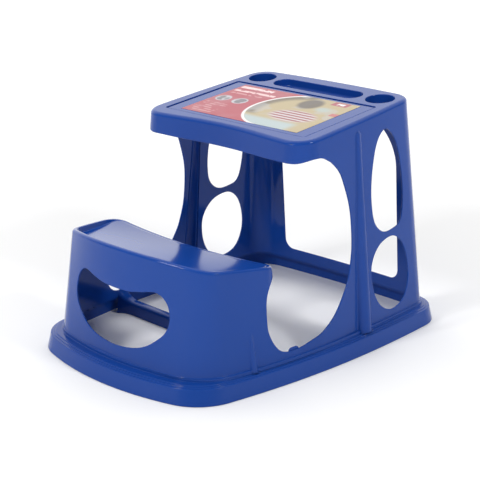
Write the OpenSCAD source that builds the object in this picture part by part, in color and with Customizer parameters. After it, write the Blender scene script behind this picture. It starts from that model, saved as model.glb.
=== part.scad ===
// Child's one-piece moulded study desk with a bench seat.
// X is across the desk, Y runs from the seat (-Y) to the desk (+Y), and +Z is up.
// The origin is on the floor at the centre of the base.
// The walls lean inward by one mould draft, and every wall is a thin shell.

/* [Base] */
// Length of the base from the seat end to the desk end
base_l = 730; // [724:1:740]
// Width of the base at its widest
base_w = 550; // [542:1:554]
// Height of the flat ledge round the base
ledge_z = 34.7; // [33:0.1:36]
// Height of the step that the walls stand on
plinth_z = 40.5; // [39:0.1:43]
// How far the skirt leans in up to its rounded edge
skirt_lean = 7; // [4:1:8]

/* [Walls] */
// Thickness of the moulded wall
wall = 3; // [2.5:0.1:3.5]
// Inward lean of the walls for each millimetre of height
draft = 0.078; // [0.07:0.002:0.086]
// Half width of the walls at their foot
foot_x = 248; // [246:1:249]
// Front of the seat wall at its foot
foot_front = -328.8; // [-331:0.2:-327]
// Rear wall at its foot
foot_rear = 336; // [334:1:338]

/* [Seat] */
// Height of the middle of the front lip
lip_z = 249; // [246:1:252]
// Front of the lip in the middle
lip_y = -312; // [-314:1:-310]
// Height of the middle of the seat at its rear edge
seat_low = 213.8; // [211:0.1:216]
// Rear edge of the seat in the middle
seat_rear = -131.5; // [-134:0.5:-129]

/* [Desk] */
// Slope of the desk top, rising to the rear
deck_tilt = 6.27; // [5.8:0.01:6.8]
// Distance of the cup centres from the rear datum along Y
deck_y = 247.3; // [246:0.1:249]
// Height of the desk top at the cup centres
deck_z = 463.2; // [460:0.1:466]
// Thickness of the desk top at its rim
deck_t = 5.5; // [5:0.1:7]
// Front edge of the desk in the middle
deck_front = -34; // [-36:1:-32]
// Height of the lower edge of the front apron
apron_z = 389; // [386:1:391]

/* [Desk top fittings] */
// Half width of the writing recess
panel_x = 187.5; // [184:0.5:190]
// Depth of the writing recess
panel_depth = 1.8; // [1.4:0.1:2.4]
// Radius of each cup pocket
cup_r = 29.7; // [28:0.1:31]
// Distance of each cup from the middle
cup_x = 158.9; // [157:0.1:160]
// Depth of each cup pocket
cup_depth = 32; // [20:1:36]
// Half length of the pen tray
tray_x = 114; // [104:1:116]
// Half width of the pen tray
tray_r = 24; // [20:0.5:25]
// Depth of the pen tray
tray_depth = 18; // [12:1:22]

/* [Hidden] */
$fn = 48;
blue = [0.16, 0.31, 0.60];
far = 900;               // longer than any part of the desk
rim_h = 6;               // height of the flat-bottomed rim
rim_t = 4;               // its thickness
skirt_z = 30;            // where the skirt meets the stepped edge of the ledge
seat_split = -112;       // seat walls end and desk walls begin
rear_split = 285;        // desk side walls end and the rear frame begins
arch_y = 29;             // apron ends and the side frame begins
front_split = 150;       // half width of the front seat panel

// ---- Plan outlines ----
// An outline is six tangent arcs a side:
// [front y, front radius, side x, side y, side radius ahead, side radius behind,
//  rear y, rear radius, front corner, rear corner]
base_plan = [-base_l/2, 600, base_w/2, 90, 1820, 2600, base_l/2, 2500, 100, 76];
plinth_plan = [foot_front - 3.2, 640, foot_x + 5, 30, 1300, 3600, foot_rear + 5, 3000, 98, 50];
foot_plan = [foot_front, 757, foot_x, 20, 1200, 4200, foot_rear, 3000, 97, 45];
lip_plan = [lip_y, 385, foot_x - 17.4, 20, 976, 4200, foot_rear, 3000, 48, 45];
head_plan = [foot_front, 757, foot_x, 20, 1200, 4200, foot_rear, 3000, 97, 79];

function meet(a, ra, b, rb, s) =
    let (d = b - a, l = norm(d), u = d / l)
    let (x = (ra*ra - rb*rb + l*l) / (2*l), h = sqrt(ra*ra - x*x))
    a + u*x + s*h*[-u.y, u.x];
function bearing(a, b) = atan2(b.y - a.y, b.x - a.x);
function arc(c, r, a0, a1, n) =
    [for (i = [1:n]) let (a = a0 + (a1 - a0)*i/n) c + r*[cos(a), sin(a)]];

// Right half of an outline from the front to the rear, inset by t
function half_plan(p, t) =
    let (front = [0, p[0] + p[1]], ahead = [p[2] - p[4], p[3]])
    let (behind = [p[2] - p[5], p[3]], rear = [0, p[6] - p[7]])
    let (c1 = meet(front, p[1] - p[8], ahead, p[4] - p[8], 1))
    let (c2 = meet(rear, p[7] - p[9], behind, p[5] - p[9], -1))
    concat(
        [[0, p[0] + t]],
        arc(front, p[1] - t, -90, bearing(front, c1), 8),
        arc(c1, p[8] - t, bearing(front, c1), bearing(ahead, c1), 8),
        arc(ahead, p[4] - t, bearing(ahead, c1), 0, 6),
        arc(behind, p[5] - t, 0, bearing(behind, c2), 6),
        arc(c2, p[9] - t, bearing(behind, c2), bearing(rear, c2), 8),
        arc(rear, p[7] - t, bearing(rear, c2), 90, 5)
    );
function mirrored(h) = [for (i = [len(h) - 2:-1:1]) [-h[i].x, h[i].y]];
function plan(p, t = 0) = let (h = half_plan(p, t)) concat(h, mirrored(h));

// Closed curve through a few points, with n steps between each pair
function spline_at(a, b, c, d, t) =
    0.5*(2*b + (c - a)*t + (2*a - 5*b + 4*c - d)*t*t + (3*b - a - 3*c + d)*t*t*t);
function closed_curve(p, n = 4) =
    let (m = len(p))
    [for (i = [0:m - 1]) for (j = [0:n - 1])
        spline_at(p[(i + m - 1)%m], p[i], p[(i + 1)%m], p[(i + 2)%m], j/n)];
function open_curve(p, n = 4) =
    let (m = len(p))
    concat(
        [for (i = [0:m - 2]) for (j = [0:n - 1])
            spline_at(p[max(i - 1, 0)], p[i], p[i + 1], p[min(i + 2, m - 1)], j/n)],
        [p[m - 1]]);

// Openings, as points that a curve runs through: [x, z] on the front, [y, z] on the sides
smile_half = [[0, 173], [34, 174], [62, 178.5], [98, 184], [121, 168], [129, 139],
    [122, 115], [106, 98], [80, 80], [46, 69], [0, 64.5]];
arch_edge = [[-41, 389], [-31, 394.5], [-14, 398.5], [6, 396.5], [29, 384], [46, 368], [59, 346],
    [77, 288], [80, 224], [74, 182], [60, 142], [26, 95], [-14, 67], [-47, 58], [-83, 52],
    [-119, 55], [-139, 74],
    [-152, 106], [-156, 135], [-154, 158], [-148, 178], [-139, 194], [-138, 206], [-142, 221]];
arch_open = concat(open_curve(arch_edge, 3), [[-145, 240], [-200, 240], [-200, 389]]);
upper_oval = [[202, 419], [230, 390], [244, 340], [249.5, 282], [239, 230], [210, 217.5], [178, 219],
    [153, 242], [145, 285], [148, 332], [161, 382], [178, 410]];
lower_oval = [[210, 203], [242, 182], [259, 140], [259, 98], [240, 64], [200, 53.5], [163, 72],
    [142, 110], [139, 158], [165, 193]];
rear_open_x = 159;       // half width of the rear opening
rear_open_z = [62, 415]; // its lower and upper edges
rear_open_r = [22, 105]; // its lower and upper corner radii

// ---- Building blocks ----
// Solid through outlines of equal length at rising heights
module loft(rings, heights) {
    n = len(rings[0]);
    last = len(rings) - 1;
    points = [for (k = [0:last]) for (p = rings[k]) [p.x, p.y, heights[k]]];
    walls = [for (k = [0:last - 1]) for (i = [0:n - 1])
        [k*n + i, (k + 1)*n + i, (k + 1)*n + (i + 1)%n, k*n + (i + 1)%n]];
    bottom = [[for (i = [0:n - 1]) i]];
    top = [[for (i = [n - 1:-1:0]) last*n + i]];
    polyhedron(points, concat(walls, bottom, top));
}
// The space between two heights and two Y values
module slice(y0, y1, z0 = -1, z1 = far) {
    translate([-far/2, y0, z0])
        cube([far, y1 - y0, z1 - z0]);
}
// One side of the middle plane: 1 is the right side, -1 the left
module one_side(s, gap = 0) {
    translate([s > 0 ? gap : -far, -far, -1])
        cube([far - gap, 2*far, far]);
}
module on_deck(drop = 0) {
    translate([0, deck_y, deck_z])
        rotate([deck_tilt, 0, 0])
        translate([0, 0, -drop])
        children();
}
module below_deck(drop = 0) {
    on_deck(drop)
        translate([-far/2, -far, -far])
        cube([far, 2*far, far]);
}
// Cut through both side walls, with points as [y, z]
module through_x(points) {
    rotate([90, 0, 90])
        translate([0, 0, -far/2])
        linear_extrude(far)
        polygon(points);
}
// Cut through the front or rear, with points as [x, z]
module through_y(points, y0, y1) {
    translate([0, y1, 0])
        rotate([90, 0, 0])
        linear_extrude(y1 - y0)
        polygon(points);
}
// The drafted tent that the desk walls follow, grown or inset by t
module desk_body(t = 0) {
    top = deck_z + 20;
    lean = draft*(top - plinth_z);
    loft([plan(foot_plan, t), plan(head_plan, t + lean)], [plinth_z, top]);
}
// The seat walls lean in further and bow more at the lip
module seat_body(t = 0) {
    top = lip_z + 5;
    loft([plan(foot_plan, t), plan(lip_plan, t)], [plinth_z, top]);
}
// Everything under the crowned, sloping line of the lip and the side rims
module under_lip() {
    crown_r = 1450;
    slope = 3.5;
    translate([0, lip_y, lip_z])
        rotate([-slope, 0, 0])
        translate([0, far/2, -crown_r])
        rotate([90, 0, 0])
        cylinder(r = crown_r, h = far, $fn = 360);
}
module seat_shell() {
    intersection() {
        difference() {
            seat_body();
            seat_body(wall);
        }
        under_lip();
        slice(-far/2, seat_split, plinth_z);
    }
}

// ---- Columns ----
// A round rib that tapers from its foot to its head and ends in a dome, inset by t:
// [[foot x, y, z], [head x, y, z], foot radius, head radius]
function ring(c, r, n = 28) = [for (i = [0:n - 1]) [c.x + r*cos(i*360/n), c.y + r*sin(i*360/n)]];
module rib(p, t) {
    dome = [0, 35, 65, 84];
    loft(
        concat([ring(p[0], p[2] - t)], [for (a = dome) ring(p[1], (p[3] - t)*cos(a))]),
        concat([p[0].z], [for (a = dome) p[1].z + (p[3] - t)*sin(a)]));
}
desk_rib = [[244.2, 105.5, ledge_z], [212.2, 108, 421], 18.8, 11.4];
seat_rib = [[221, -190, ledge_z], [216, -190, 104], 14.5, 3.4];
module desk_rib_solid(t = 0) { rib(desk_rib, t); }
module seat_rib_solid(t = 0) { rib(seat_rib, t); }
module above_ledge() { slice(-far/2, far/2, ledge_z); }
module plinth_solid() {
    loft([plan(plinth_plan), plan(plinth_plan, 0.5)], [ledge_z - 1, plinth_z]);
}
module desk_column() {
    color(blue)
    intersection() {
        difference() {
            desk_rib_solid();
            desk_rib_solid(wall);
            desk_body();
            plinth_solid();
        }
        above_ledge();
    }
}
module seat_column() {
    color(blue)
    intersection() {
        difference() {
            seat_rib_solid();
            seat_body();
            plinth_solid();
        }
        above_ledge();
    }
}

// ---- Base ----
module floor_rim() {
    color(blue)
    linear_extrude(rim_h)
    difference() {
        polygon(plan(base_plan, 0));
        polygon(plan(base_plan, rim_t));
    }
}
module base_skirt() {
    low = skirt_lean*rim_h/skirt_z;
    color(blue)
    difference() {
        loft([plan(base_plan, low), plan(base_plan, skirt_lean)], [rim_h, skirt_z]);
        loft([plan(base_plan, low + wall), plan(base_plan, skirt_lean + wall)], [rim_h - 1, skirt_z + 1]);
    }
}
// The edge of the ledge is made of two low steps: [inset, height] of each one's outer edge and inner edge
step_edges = [[skirt_lean, skirt_z], [skirt_lean + 4.4, skirt_z + 0.6], [skirt_lean + 4.7, skirt_z + 2.4],
    [skirt_lean + 9, skirt_z + 2.9], [skirt_lean + 9.4, ledge_z]];
module stepped_edge() {
    loft([for (e = step_edges) plan(base_plan, e[0])], [for (e = step_edges) e[1]]);
}
module base_ledge() {
    color(blue)
    difference() {
        union() {
            stepped_edge();
            loft([plan(plinth_plan), plan(plinth_plan, 0.5)], [ledge_z - 1, plinth_z]);
        }
        loft([plan(plinth_plan, wall), plan(plinth_plan, wall)], [skirt_z - 9, plinth_z - wall]);
        loft([plan(foot_plan, wall), plan(foot_plan, wall)], [skirt_z - 9, plinth_z + 1]);
    }
}

// ---- Seat ----
module seat_front() {
    color(blue)
    difference() {
        seat_shell();
        one_side(1, front_split);
        mirror([1, 0, 0]) one_side(1, front_split);
        slice(-250, far/2);
        through_y(closed_curve(concat(smile_half, mirrored(smile_half))), -far/2, -200);
    }
}
module seat_side(s) {
    color(blue)
    difference() {
        seat_shell();
        one_side(-s);
        translate([-front_split, -far/2, -1]) cube([2*front_split, far/2 - 250, far]);
        through_x(arch_open);
    }
}
// The sitting surface rises to the front, most of all in the middle, and is dished across its rear edge
seat_rise = 0.1167;      // slope at the middle of the rear edge
seat_flatten = 0.058;    // how much of that slope is lost by seat_side_x
seat_side_x = 150;
seat_curl = 0.00011;     // how the slope grows towards the front
seat_dish = 0.000064;    // how the rear edge rises to the sides
seat_edge_r = 1270;      // bow of the rear edge
function behind_edge(x, y) = seat_rear + x*x/(2*seat_edge_r) - y;
function seat_z(x, y) =
    let (w = behind_edge(x, y), side = min(pow(x/seat_side_x, 2), 1.9))
    seat_low + seat_dish*x*x + (seat_rise - seat_flatten*side)*w + seat_curl*w*w;
// Sheet under the sitting surface, with its corners on a grid
module seat_sheet(t) {
    nx = 16;
    ny = 9;
    x0 = -224;
    y0 = -318;
    dx = 2*224/nx;
    dy = 24;
    m = nx + 1;
    k = m*(ny + 1);
    points = [for (drop = [0, t]) for (j = [0:ny]) for (i = [0:nx])
        let (x = x0 + i*dx, y = y0 + j*dy) [x, y, seat_z(x, y) - drop]];
    top = [for (j = [0:ny - 1]) for (i = [0:nx - 1]) for (h = [0, 1]) let (a = j*m + i)
        h == 0 ? [a, a + m, a + m + 1] : [a, a + m + 1, a + 1]];
    bottom = [for (f = top) [k + f[2], k + f[1], k + f[0]]];
    rim = concat([for (i = [0:nx]) i], [for (j = [1:ny]) j*m + nx],
        [for (i = [nx - 1:-1:0]) ny*m + i], [for (j = [ny - 1:-1:1]) j*m]);
    n = len(rim);
    sides = [for (i = [0:n - 1]) [rim[i], rim[(i + 1)%n], k + rim[(i + 1)%n], k + rim[i]]];
    polyhedron(points, concat(top, bottom, sides));
}
module seat_top() {
    end_y = -117;
    end_r = 26;
    end_x = 191;
    color(blue)
    difference() {
        intersection() {
            seat_body(wall);
            slice(-far/2, end_y);
            seat_sheet(wall);
        }
        translate([0, seat_rear + seat_edge_r, 0]) cylinder(r = seat_edge_r, h = far, $fn = 360);
        for (s = [-1, 1])
            difference() {
                translate([s > 0 ? end_x : -end_x - 60, end_y - end_r, 0]) cube([60, 60, far]);
                translate([s*end_x, end_y - end_r, -1]) cylinder(r = end_r, h = far + 2);
            }
    }
}
sill_y = -86;            // middle of the sill
sill_w = 23;             // its width at the floor
sill_h = 28;             // its height
sill_r = 7;              // rounding of its top edges
sill_fillet = 34;        // sweep of its ends up into the side walls
module sill_profile(t) {
    w = sill_w - 2*t;
    h = sill_h - t;
    r = sill_r - t;
    translate([-w/2, 0]) square([w, h - r]);
    translate([-w/2 + r, 0]) square([w - 2*r, h]);
    for (s = [-1, 1]) translate([s*(w/2 - r), h - r]) circle(r);
}
module seat_sill() {
    inner = foot_x - 9;
    color(blue)
    intersection() {
        union() {
            translate([-far/2, sill_y, 0])
                rotate([90, 0, 90])
                linear_extrude(far)
                difference() {
                    sill_profile(0);
                    translate([0, -0.01]) sill_profile(wall);
                }
            for (s = [0, 1])
                mirror([s, 0, 0])
                translate([0, sill_y + sill_w/2, 0])
                rotate([90, 0, 0])
                linear_extrude(sill_w)
                difference() {
                    translate([inner - sill_fillet, sill_h - wall])
                        square([2*sill_fillet, sill_fillet + wall]);
                    translate([inner - sill_fillet, sill_h + sill_fillet]) circle(sill_fillet);
                }
        }
        union() {
            loft([plan(foot_plan, wall), plan(foot_plan, wall)], [0, plinth_z]);
            desk_body(wall);
        }
    }
}

// ---- Desk walls ----
module desk_shell() {
    intersection() {
        difference() {
            desk_body();
            desk_body(wall);
        }
        below_deck(deck_t);
    }
}
module side_frame(s) {
    color(blue)
    difference() {
        intersection() {
            desk_shell();
            slice(seat_split, rear_split, plinth_z);
            one_side(s);
        }
        through_x(arch_open);
        slice(seat_split - 1, arch_y, (plinth_z + deck_z)/2 + 50);
        through_x(closed_curve(upper_oval));
        through_x(closed_curve(lower_oval));
        mirror([s > 0 ? 0 : 1, 0, 0]) desk_rib_solid(wall);
    }
}
module rear_frame() {
    low = rear_open_z[0] + rear_open_r[0];
    high = rear_open_z[1] - rear_open_r[1];
    inner = rear_open_x - rear_open_r[0];
    outline = concat(
        arc([inner, low], rear_open_r[0], -90, 0, 6),
        arc([rear_open_x - rear_open_r[1], high], rear_open_r[1], 0, 90, 12));
    flip = [for (i = [len(outline) - 1:-1:0]) [-outline[i].x, outline[i].y]];
    color(blue)
    difference() {
        intersection() {
            desk_shell();
            slice(rear_split, far/2, plinth_z);
        }
        through_y(concat(outline, flip), rear_split + 3, far/2);
    }
}

// ---- Desk top ----
corner_f = 40;           // front corners of the desk in plan
corner_r = 44;           // rear corners of the desk in plan
deck_side = [216.8, 206.6];  // half widths at the front and rear corners
deck_back = [302.5, 296];    // rear edge in the middle and at its corners
deck_nose = -49;         // front edge at its corners
function deck_half(t) =
    let (a = [deck_side[0] - corner_f, deck_nose + corner_f])
    let (b = [deck_side[1] - corner_r, deck_back[1] - corner_r])
    let (w = a.x, bow = deck_front - deck_nose)
    concat(
        [for (i = [0:6]) let (x = w*i/7) [x, deck_front + t - bow*x*x/(w*w)]],
        [a + (corner_f - t)*[0, -1]],
        arc(a, corner_f - t, -90, 0, 7),
        [b + (corner_r - t)*[1, 0]],
        arc(b, corner_r - t, 0, 88, 8),
        [for (i = [1:5]) let (x = b.x*(1 - i/5)) [x, deck_back[0] - t - 6*x*x/(b.x*b.x)]]
    );
function deck_plan(t = 0) = let (h = deck_half(t)) concat(h, mirrored(h));
module stadium(half_len, r, t) {
    translate([-(half_len - r), -r + t]) square([2*(half_len - r), 2*(r - t)]);
    for (s = [-1, 1]) translate([s*(half_len - r), 0]) circle(r - t);
}
tray_v = -5.5;           // middle of the tray along the slope from the cup centres
panel_v = [-261.5, -45]; // front and rear of the writing recess along the slope
module panel_outline(t = 0) {
    r = 6;
    translate([-panel_x + t + r, panel_v[0] + t]) square([2*(panel_x - t - r), panel_v[1] - panel_v[0] - 2*t]);
    translate([-panel_x + t, panel_v[0] + t + r]) square([2*(panel_x - t), panel_v[1] - panel_v[0] - 2*(t + r)]);
    for (sx = [-1, 1])
        for (v = [panel_v[0] + t + r, panel_v[1] - t - r])
            translate([sx*(panel_x - t - r), v]) circle(r);
}
module desk_top() {
    color(blue)
    difference() {
        intersection() {
            linear_extrude(far) polygon(deck_plan());
            on_deck(deck_t) translate([-far/2, -far/2, 0]) cube([far, far, deck_t]);
        }
        on_deck(deck_t + 1) linear_extrude(deck_t + 2) panel_outline();
        on_deck(deck_t + 1) translate([0, tray_v, 0]) linear_extrude(deck_t + 2) stadium(tray_x, tray_r, 0);
        for (s = [-1, 1])
            on_deck(deck_t + 1) translate([s*cup_x, 0, 0]) cylinder(r = cup_r, h = deck_t + 2);
    }
}
module desk_apron() {
    ear_drop = 8;        // how far the apron's sides may hang below its front
    front_depth = 9;     // the front part of the apron, behind its nose
    color(blue)
    difference() {
        intersection() {
            linear_extrude(far) polygon(deck_plan());
            slice(-far/2, arch_y, apron_z - ear_drop);
            below_deck(deck_t);
        }
        linear_extrude(far) polygon(deck_plan(wall));
        slice(-far/2, deck_nose + front_depth, 0, apron_z);
        difference() {
            through_x(arch_open);
            translate([-front_split, -far/2, 0]) cube([2*front_split, far, far]);
        }
        translate([-front_split, -far/2, 0]) cube([2*front_split, far, apron_z]);
    }
}
module writing_panel() {
    color(blue)
    on_deck(deck_t) linear_extrude(deck_t - panel_depth) panel_outline();
}
module pen_tray() {
    color(blue)
    difference() {
        on_deck(tray_depth) translate([0, tray_v, 0]) linear_extrude(tray_depth) stadium(tray_x, tray_r, 0);
        on_deck(tray_depth - wall) translate([0, tray_v, 0]) linear_extrude(far) stadium(tray_x, tray_r, wall);
    }
}
module cup_holder(s) {
    color(blue)
    difference() {
        on_deck(cup_depth) translate([s*cup_x, 0, 0]) cylinder(r = cup_r, h = cup_depth);
        on_deck(cup_depth - wall) translate([s*cup_x, 0, 0]) cylinder(r = cup_r - wall, h = far);
    }
}
label_x = 155.5;         // half width of the printed label
label_v = [-246, -56];   // its front and rear along the slope
label_t = 0.3;           // its thickness
module label_sheet() {
    color([0.78, 0.25, 0.22])
    on_deck(panel_depth)
        translate([-label_x, label_v[0], 0])
        cube([2*label_x, label_v[1] - label_v[0], label_t]);
}

floor_rim();
base_skirt();
base_ledge();
seat_front();
seat_side(-1);  // seat_side_left
seat_side(1);  // seat_side_right
seat_top();
seat_sill();
mirror([1, 0, 0]) seat_column();  // seat_column_left
seat_column();  // seat_column_right
side_frame(-1);  // side_frame_left
side_frame(1);  // side_frame_right
mirror([1, 0, 0]) desk_column();  // desk_column_left
desk_column();  // desk_column_right
rear_frame();
desk_apron();
desk_top();
writing_panel();
pen_tray();
cup_holder(-1);  // cup_holder_left
cup_holder(1);  // cup_holder_right
label_sheet();
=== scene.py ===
"""Looks of a child's one-piece moulded study desk with a bench seat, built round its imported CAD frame.

Lengths are worked out in millimetres, in the CAD frame, and turned into metres when a mesh is made.
Every visible piece is a closed thin shell. Neighbouring pieces share one set of surface formulas, so
the moulding runs on without a seam from piece to piece.
"""
import math

import bmesh
import bpy
import numpy as np
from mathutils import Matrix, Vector, geometry


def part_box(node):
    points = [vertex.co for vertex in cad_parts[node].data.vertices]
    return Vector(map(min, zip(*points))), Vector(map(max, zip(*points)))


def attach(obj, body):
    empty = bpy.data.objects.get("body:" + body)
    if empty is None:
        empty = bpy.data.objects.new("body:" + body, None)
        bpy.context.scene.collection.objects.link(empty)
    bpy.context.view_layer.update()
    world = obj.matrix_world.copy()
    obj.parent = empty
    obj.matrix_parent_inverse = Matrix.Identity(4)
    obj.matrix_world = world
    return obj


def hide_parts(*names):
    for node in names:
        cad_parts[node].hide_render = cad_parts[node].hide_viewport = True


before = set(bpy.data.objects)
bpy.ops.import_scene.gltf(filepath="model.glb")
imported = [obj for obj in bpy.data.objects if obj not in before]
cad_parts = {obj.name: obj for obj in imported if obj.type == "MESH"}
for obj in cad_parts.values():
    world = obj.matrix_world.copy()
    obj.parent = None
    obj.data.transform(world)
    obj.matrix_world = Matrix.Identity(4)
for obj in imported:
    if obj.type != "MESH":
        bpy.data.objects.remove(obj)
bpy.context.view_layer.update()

MM = 0.001


def node_box(name):
    """Lowest and highest corners of a CAD node in millimetres."""
    low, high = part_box(name)
    return np.array(low)/MM, np.array(high)/MM


# ---------------------------------------------------------------- driving sizes
BASE_HIGH = node_box("floor_rim")[1]
LEDGE_HIGH = node_box("base_ledge")[1]
DECK_HIGH = node_box("desk_top")[1]
HALF_L = BASE_HIGH[1]                   # half length of the base
HALF_W = BASE_HIGH[0]                   # half width of the base
PLINTH_Z = LEDGE_HIGH[2]                # step that the walls stand on
LEDGE_Z = PLINTH_Z - 5.8                # flat ledge round the base
WALL = 3.0                              # wall thickness
DRAFT = 0.078                           # inward lean of the walls per millimetre of height
RIM_R = 1.25                            # rounding of the free edges
FOOT_R = 1.8                            # fillet at the foot of the walls
FOOT_Z = PLINTH_Z + FOOT_R              # where the fillet meets the wall

DECK_TILT = math.radians(6.27)
DECK_Y = 247.3                          # cup centres
DECK_Z = DECK_HIGH[2] - (DECK_HIGH[1] - DECK_Y)*math.tan(DECK_TILT)
DECK_R = 6.5                            # drop of the deck's rounded edge
DECK_IN = 9.0                           # how far that rounding reaches in
DECK_CORNER = 44.0                      # front corners of the deck
DECK_NOSE = -49.0                       # front edge at its corners
DECK_FRONT = -34.0                      # front edge in the middle
APRON_Z = 389.0                         # lower edge of the front apron
ARCH_Y = 29.0                           # the apron hands over to the side frame

LIP_Y, LIP_Z = -312.0, 249.0            # middle of the seat's front lip
LIP_CROWN = 1450.0                      # radius of the lip's crown across X
LIP_SLOPE = math.tan(math.radians(3.5)) # fall of the side rims towards the rear
LIP_R = 5.5                             # rounding of the seat's edge
LIP_FLAT = 4.0                          # flat top of the raised rim
LIP_FALL = 5.5                          # width over which the rim falls to the sitting surface
SEAT_REAR = -131.5                      # rear edge of the seat in the middle
SEAT_BOW = 2540.0                       # how gently that edge bows
SEAT_CORNER = 26.0                      # rear corners of the seat
SEAT_Z, SEAT_DISH = 214.0, 2.3          # rear edge's height in the middle, and its rise 190 from there
SEAT_RISE, SEAT_LOSS = 0.1167, 0.058    # slope to the front in the middle, and how much less 150 from there
SEAT_CURL = 0.0198/180                  # how that slope steepens to the front
FRONT_SPLIT = 150.0                     # half width of the front seat panel
SEAT_SPLIT = -112.0                     # seat walls end and desk walls begin
REAR_SPLIT = 285.0                      # side frames end and the rear frame begins


def smooth(x):
    x = np.clip(x, 0.0, 1.0)
    return x*x*(3 - 2*x)


def unit(v):
    v = np.asarray(v, float)
    return v/np.maximum(np.linalg.norm(v, axis=-1, keepdims=True), 1e-12)


def deck_z(y):
    """Height of the deck's plane at y."""
    return DECK_Z + (np.asarray(y, float) - DECK_Y)*math.tan(DECK_TILT)


def deck_point(x, v, w=0.0):
    """A point given in the deck's own frame: across, up the slope, and out of the plane."""
    x, v, w = np.broadcast_arrays(np.asarray(x, float), v, w)
    c, s = math.cos(DECK_TILT), math.sin(DECK_TILT)
    return np.stack([x, DECK_Y + v*c - w*s, DECK_Z + v*s + w*c], -1)


DECK_N = np.array([0.0, -math.sin(DECK_TILT), math.cos(DECK_TILT)])


# ---------------------------------------------------------------- plan outlines
def meet(a, ra, b, rb, side):
    """Where two circles cross."""
    a, b = np.array(a, float), np.array(b, float)
    length = np.linalg.norm(b - a)
    u = (b - a)/length
    x = (ra*ra - rb*rb + length*length)/(2*length)
    return a + u*x + side*math.sqrt(ra*ra - x*x)*np.array([-u[1], u[0]])


def bearing(a, b):
    return math.atan2(b[1] - a[1], b[0] - a[0])


class Outline:
    """Six tangent arcs a side, from the front middle round to the rear middle, and their mirror image."""

    def __init__(self, front_y, front_r, side_x, side_y, ahead_r, behind_r, rear_y, rear_r,
                 corner_f, corner_r):
        front, rear = (0.0, front_y + front_r), (0.0, rear_y - rear_r)
        ahead, behind = (side_x - ahead_r, side_y), (side_x - behind_r, side_y)
        c1 = meet(front, front_r - corner_f, ahead, ahead_r - corner_f, 1)
        c2 = meet(rear, rear_r - corner_r, behind, behind_r - corner_r, -1)
        a1, a2, a3, a4 = bearing(front, c1), bearing(ahead, c1), bearing(behind, c2), bearing(rear, c2)
        self.centre = np.array([front, c1, ahead, behind, c2, rear])
        self.radius = np.array([front_r, corner_f, ahead_r, behind_r, corner_r, rear_r])
        self.start = np.array([-math.pi/2, a1, a2, 0.0, a3, a4])
        self.end = np.array([a1, a2, 0.0, a3, a4, math.pi/2])

    def at(self, arc, part, side, inset=0.0):
        """Points and outward directions on arc number arc, at the fraction part of it."""
        angle = self.start[arc] + (self.end[arc] - self.start[arc])*part
        out = np.stack([np.cos(angle), np.sin(angle)], -1)
        radius = self.radius[arc] - inset
        p = self.centre[arc] + radius[:, None]*out
        return p*np.stack([side, np.ones_like(side)], -1), out*np.stack([side, np.ones_like(side)], -1)


BASE = Outline(-HALF_L, 600, HALF_W, 90, 1820, 2600, HALF_L, 2500, 100, 76)
FOOT = Outline(-328.8, 757, 248, 20, 1200, 4200, 336, 3000, 97, 45)
PLINTH = Outline(-332, 640, 253, 30, 1300, 3600, 341, 3000, 98, 50)
LIP = Outline(LIP_Y, 385, 230.6, 20, 976, 4200, 336, 3000, 48, 45)
HEAD = Outline(-328.8, 757, 248, 20, 1200, 4200, 336, 3000, 97, 79)
HEAD_Z = 483.2
SEAT_TOP_Z = 254.0
KNOTS = np.concatenate([[0.0], np.cumsum(FOOT.radius*np.abs(FOOT.end - FOOT.start))])
REAR_U = KNOTS[-1]


def locate(u):
    """Arc number, fraction and side of the distance u round the foot, from the front middle."""
    u = np.atleast_1d(np.asarray(u, float))
    u = np.where(u > REAR_U, u - 2*REAR_U, np.where(u < -REAR_U, u + 2*REAR_U, u))
    side = np.where(u < 0, -1.0, 1.0)
    a = np.clip(np.abs(u), 0, REAR_U - 1e-9)
    arc = np.clip(np.searchsorted(KNOTS, a, side="right") - 1, 0, 5)
    return arc, (a - KNOTS[arc])/(KNOTS[arc + 1] - KNOTS[arc]), side


def outline_points(outline, u, inset=0.0):
    return outline.at(*locate(u), inset)


# ---------------------------------------------------------------- the wall surface
def wall_points(u, z):
    """Outer face of the walls: a drafted tent for the desk that blends into the steeper seat walls."""
    u, z = np.broadcast_arrays(np.atleast_1d(np.asarray(u, float)), np.asarray(z, float))
    place = locate(u)
    foot = FOOT.at(*place)[0]
    head = HEAD.at(*place, inset=DRAFT*(HEAD_Z - PLINTH_Z))[0]
    lip = LIP.at(*place)[0]
    up = (z - PLINTH_Z)[:, None]
    desk = foot + (head - foot)*up/(HEAD_Z - PLINTH_Z)
    seat = foot + (lip - foot)*up/(SEAT_TOP_Z - PLINTH_Z)
    share = smooth((-foot[:, 1:2] - 40)/90)
    return np.column_stack([desk + (seat - desk)*share, z])


def with_normals(points, q):
    """Points and outward normals of a wall surface at q = (distance round the foot, height)."""
    u, z = q[:, 0], q[:, 1]
    e = 0.5
    along = points(u + e, z) - points(u - e, z)
    up = points(u, z + e) - points(u, z - e)
    return points(u, z), unit(np.cross(along, up))


def wall(q):
    return with_normals(wall_points, q)


def solve_u(axis, value, z, low, high):
    """The u between low and high at which the wall's coordinate axis takes the given value."""
    value, z = np.broadcast_arrays(np.atleast_1d(np.asarray(value, float)), np.asarray(z, float))
    a, b = np.full(value.shape, float(low)), np.full(value.shape, float(high))
    rising = wall_points(high, z[:1])[0, axis] > wall_points(low, z[:1])[0, axis]
    for _ in range(40):
        m = (a + b)/2
        below = (wall_points(m, z)[:, axis] < value) == rising
        a, b = np.where(below, m, a), np.where(below, b, m)
    return (a + b)/2


def side_u(y, z):
    return solve_u(1, y, z, KNOTS[1], KNOTS[5])


def front_u(x, z):
    return solve_u(0, x, z, -KNOTS[2], KNOTS[2])


def rear_u(x, z):
    x = np.atleast_1d(np.asarray(x, float))
    u = solve_u(0, np.abs(x), z, KNOTS[4], REAR_U)
    return np.where(x < 0, 2*REAR_U - u, u)


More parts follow.
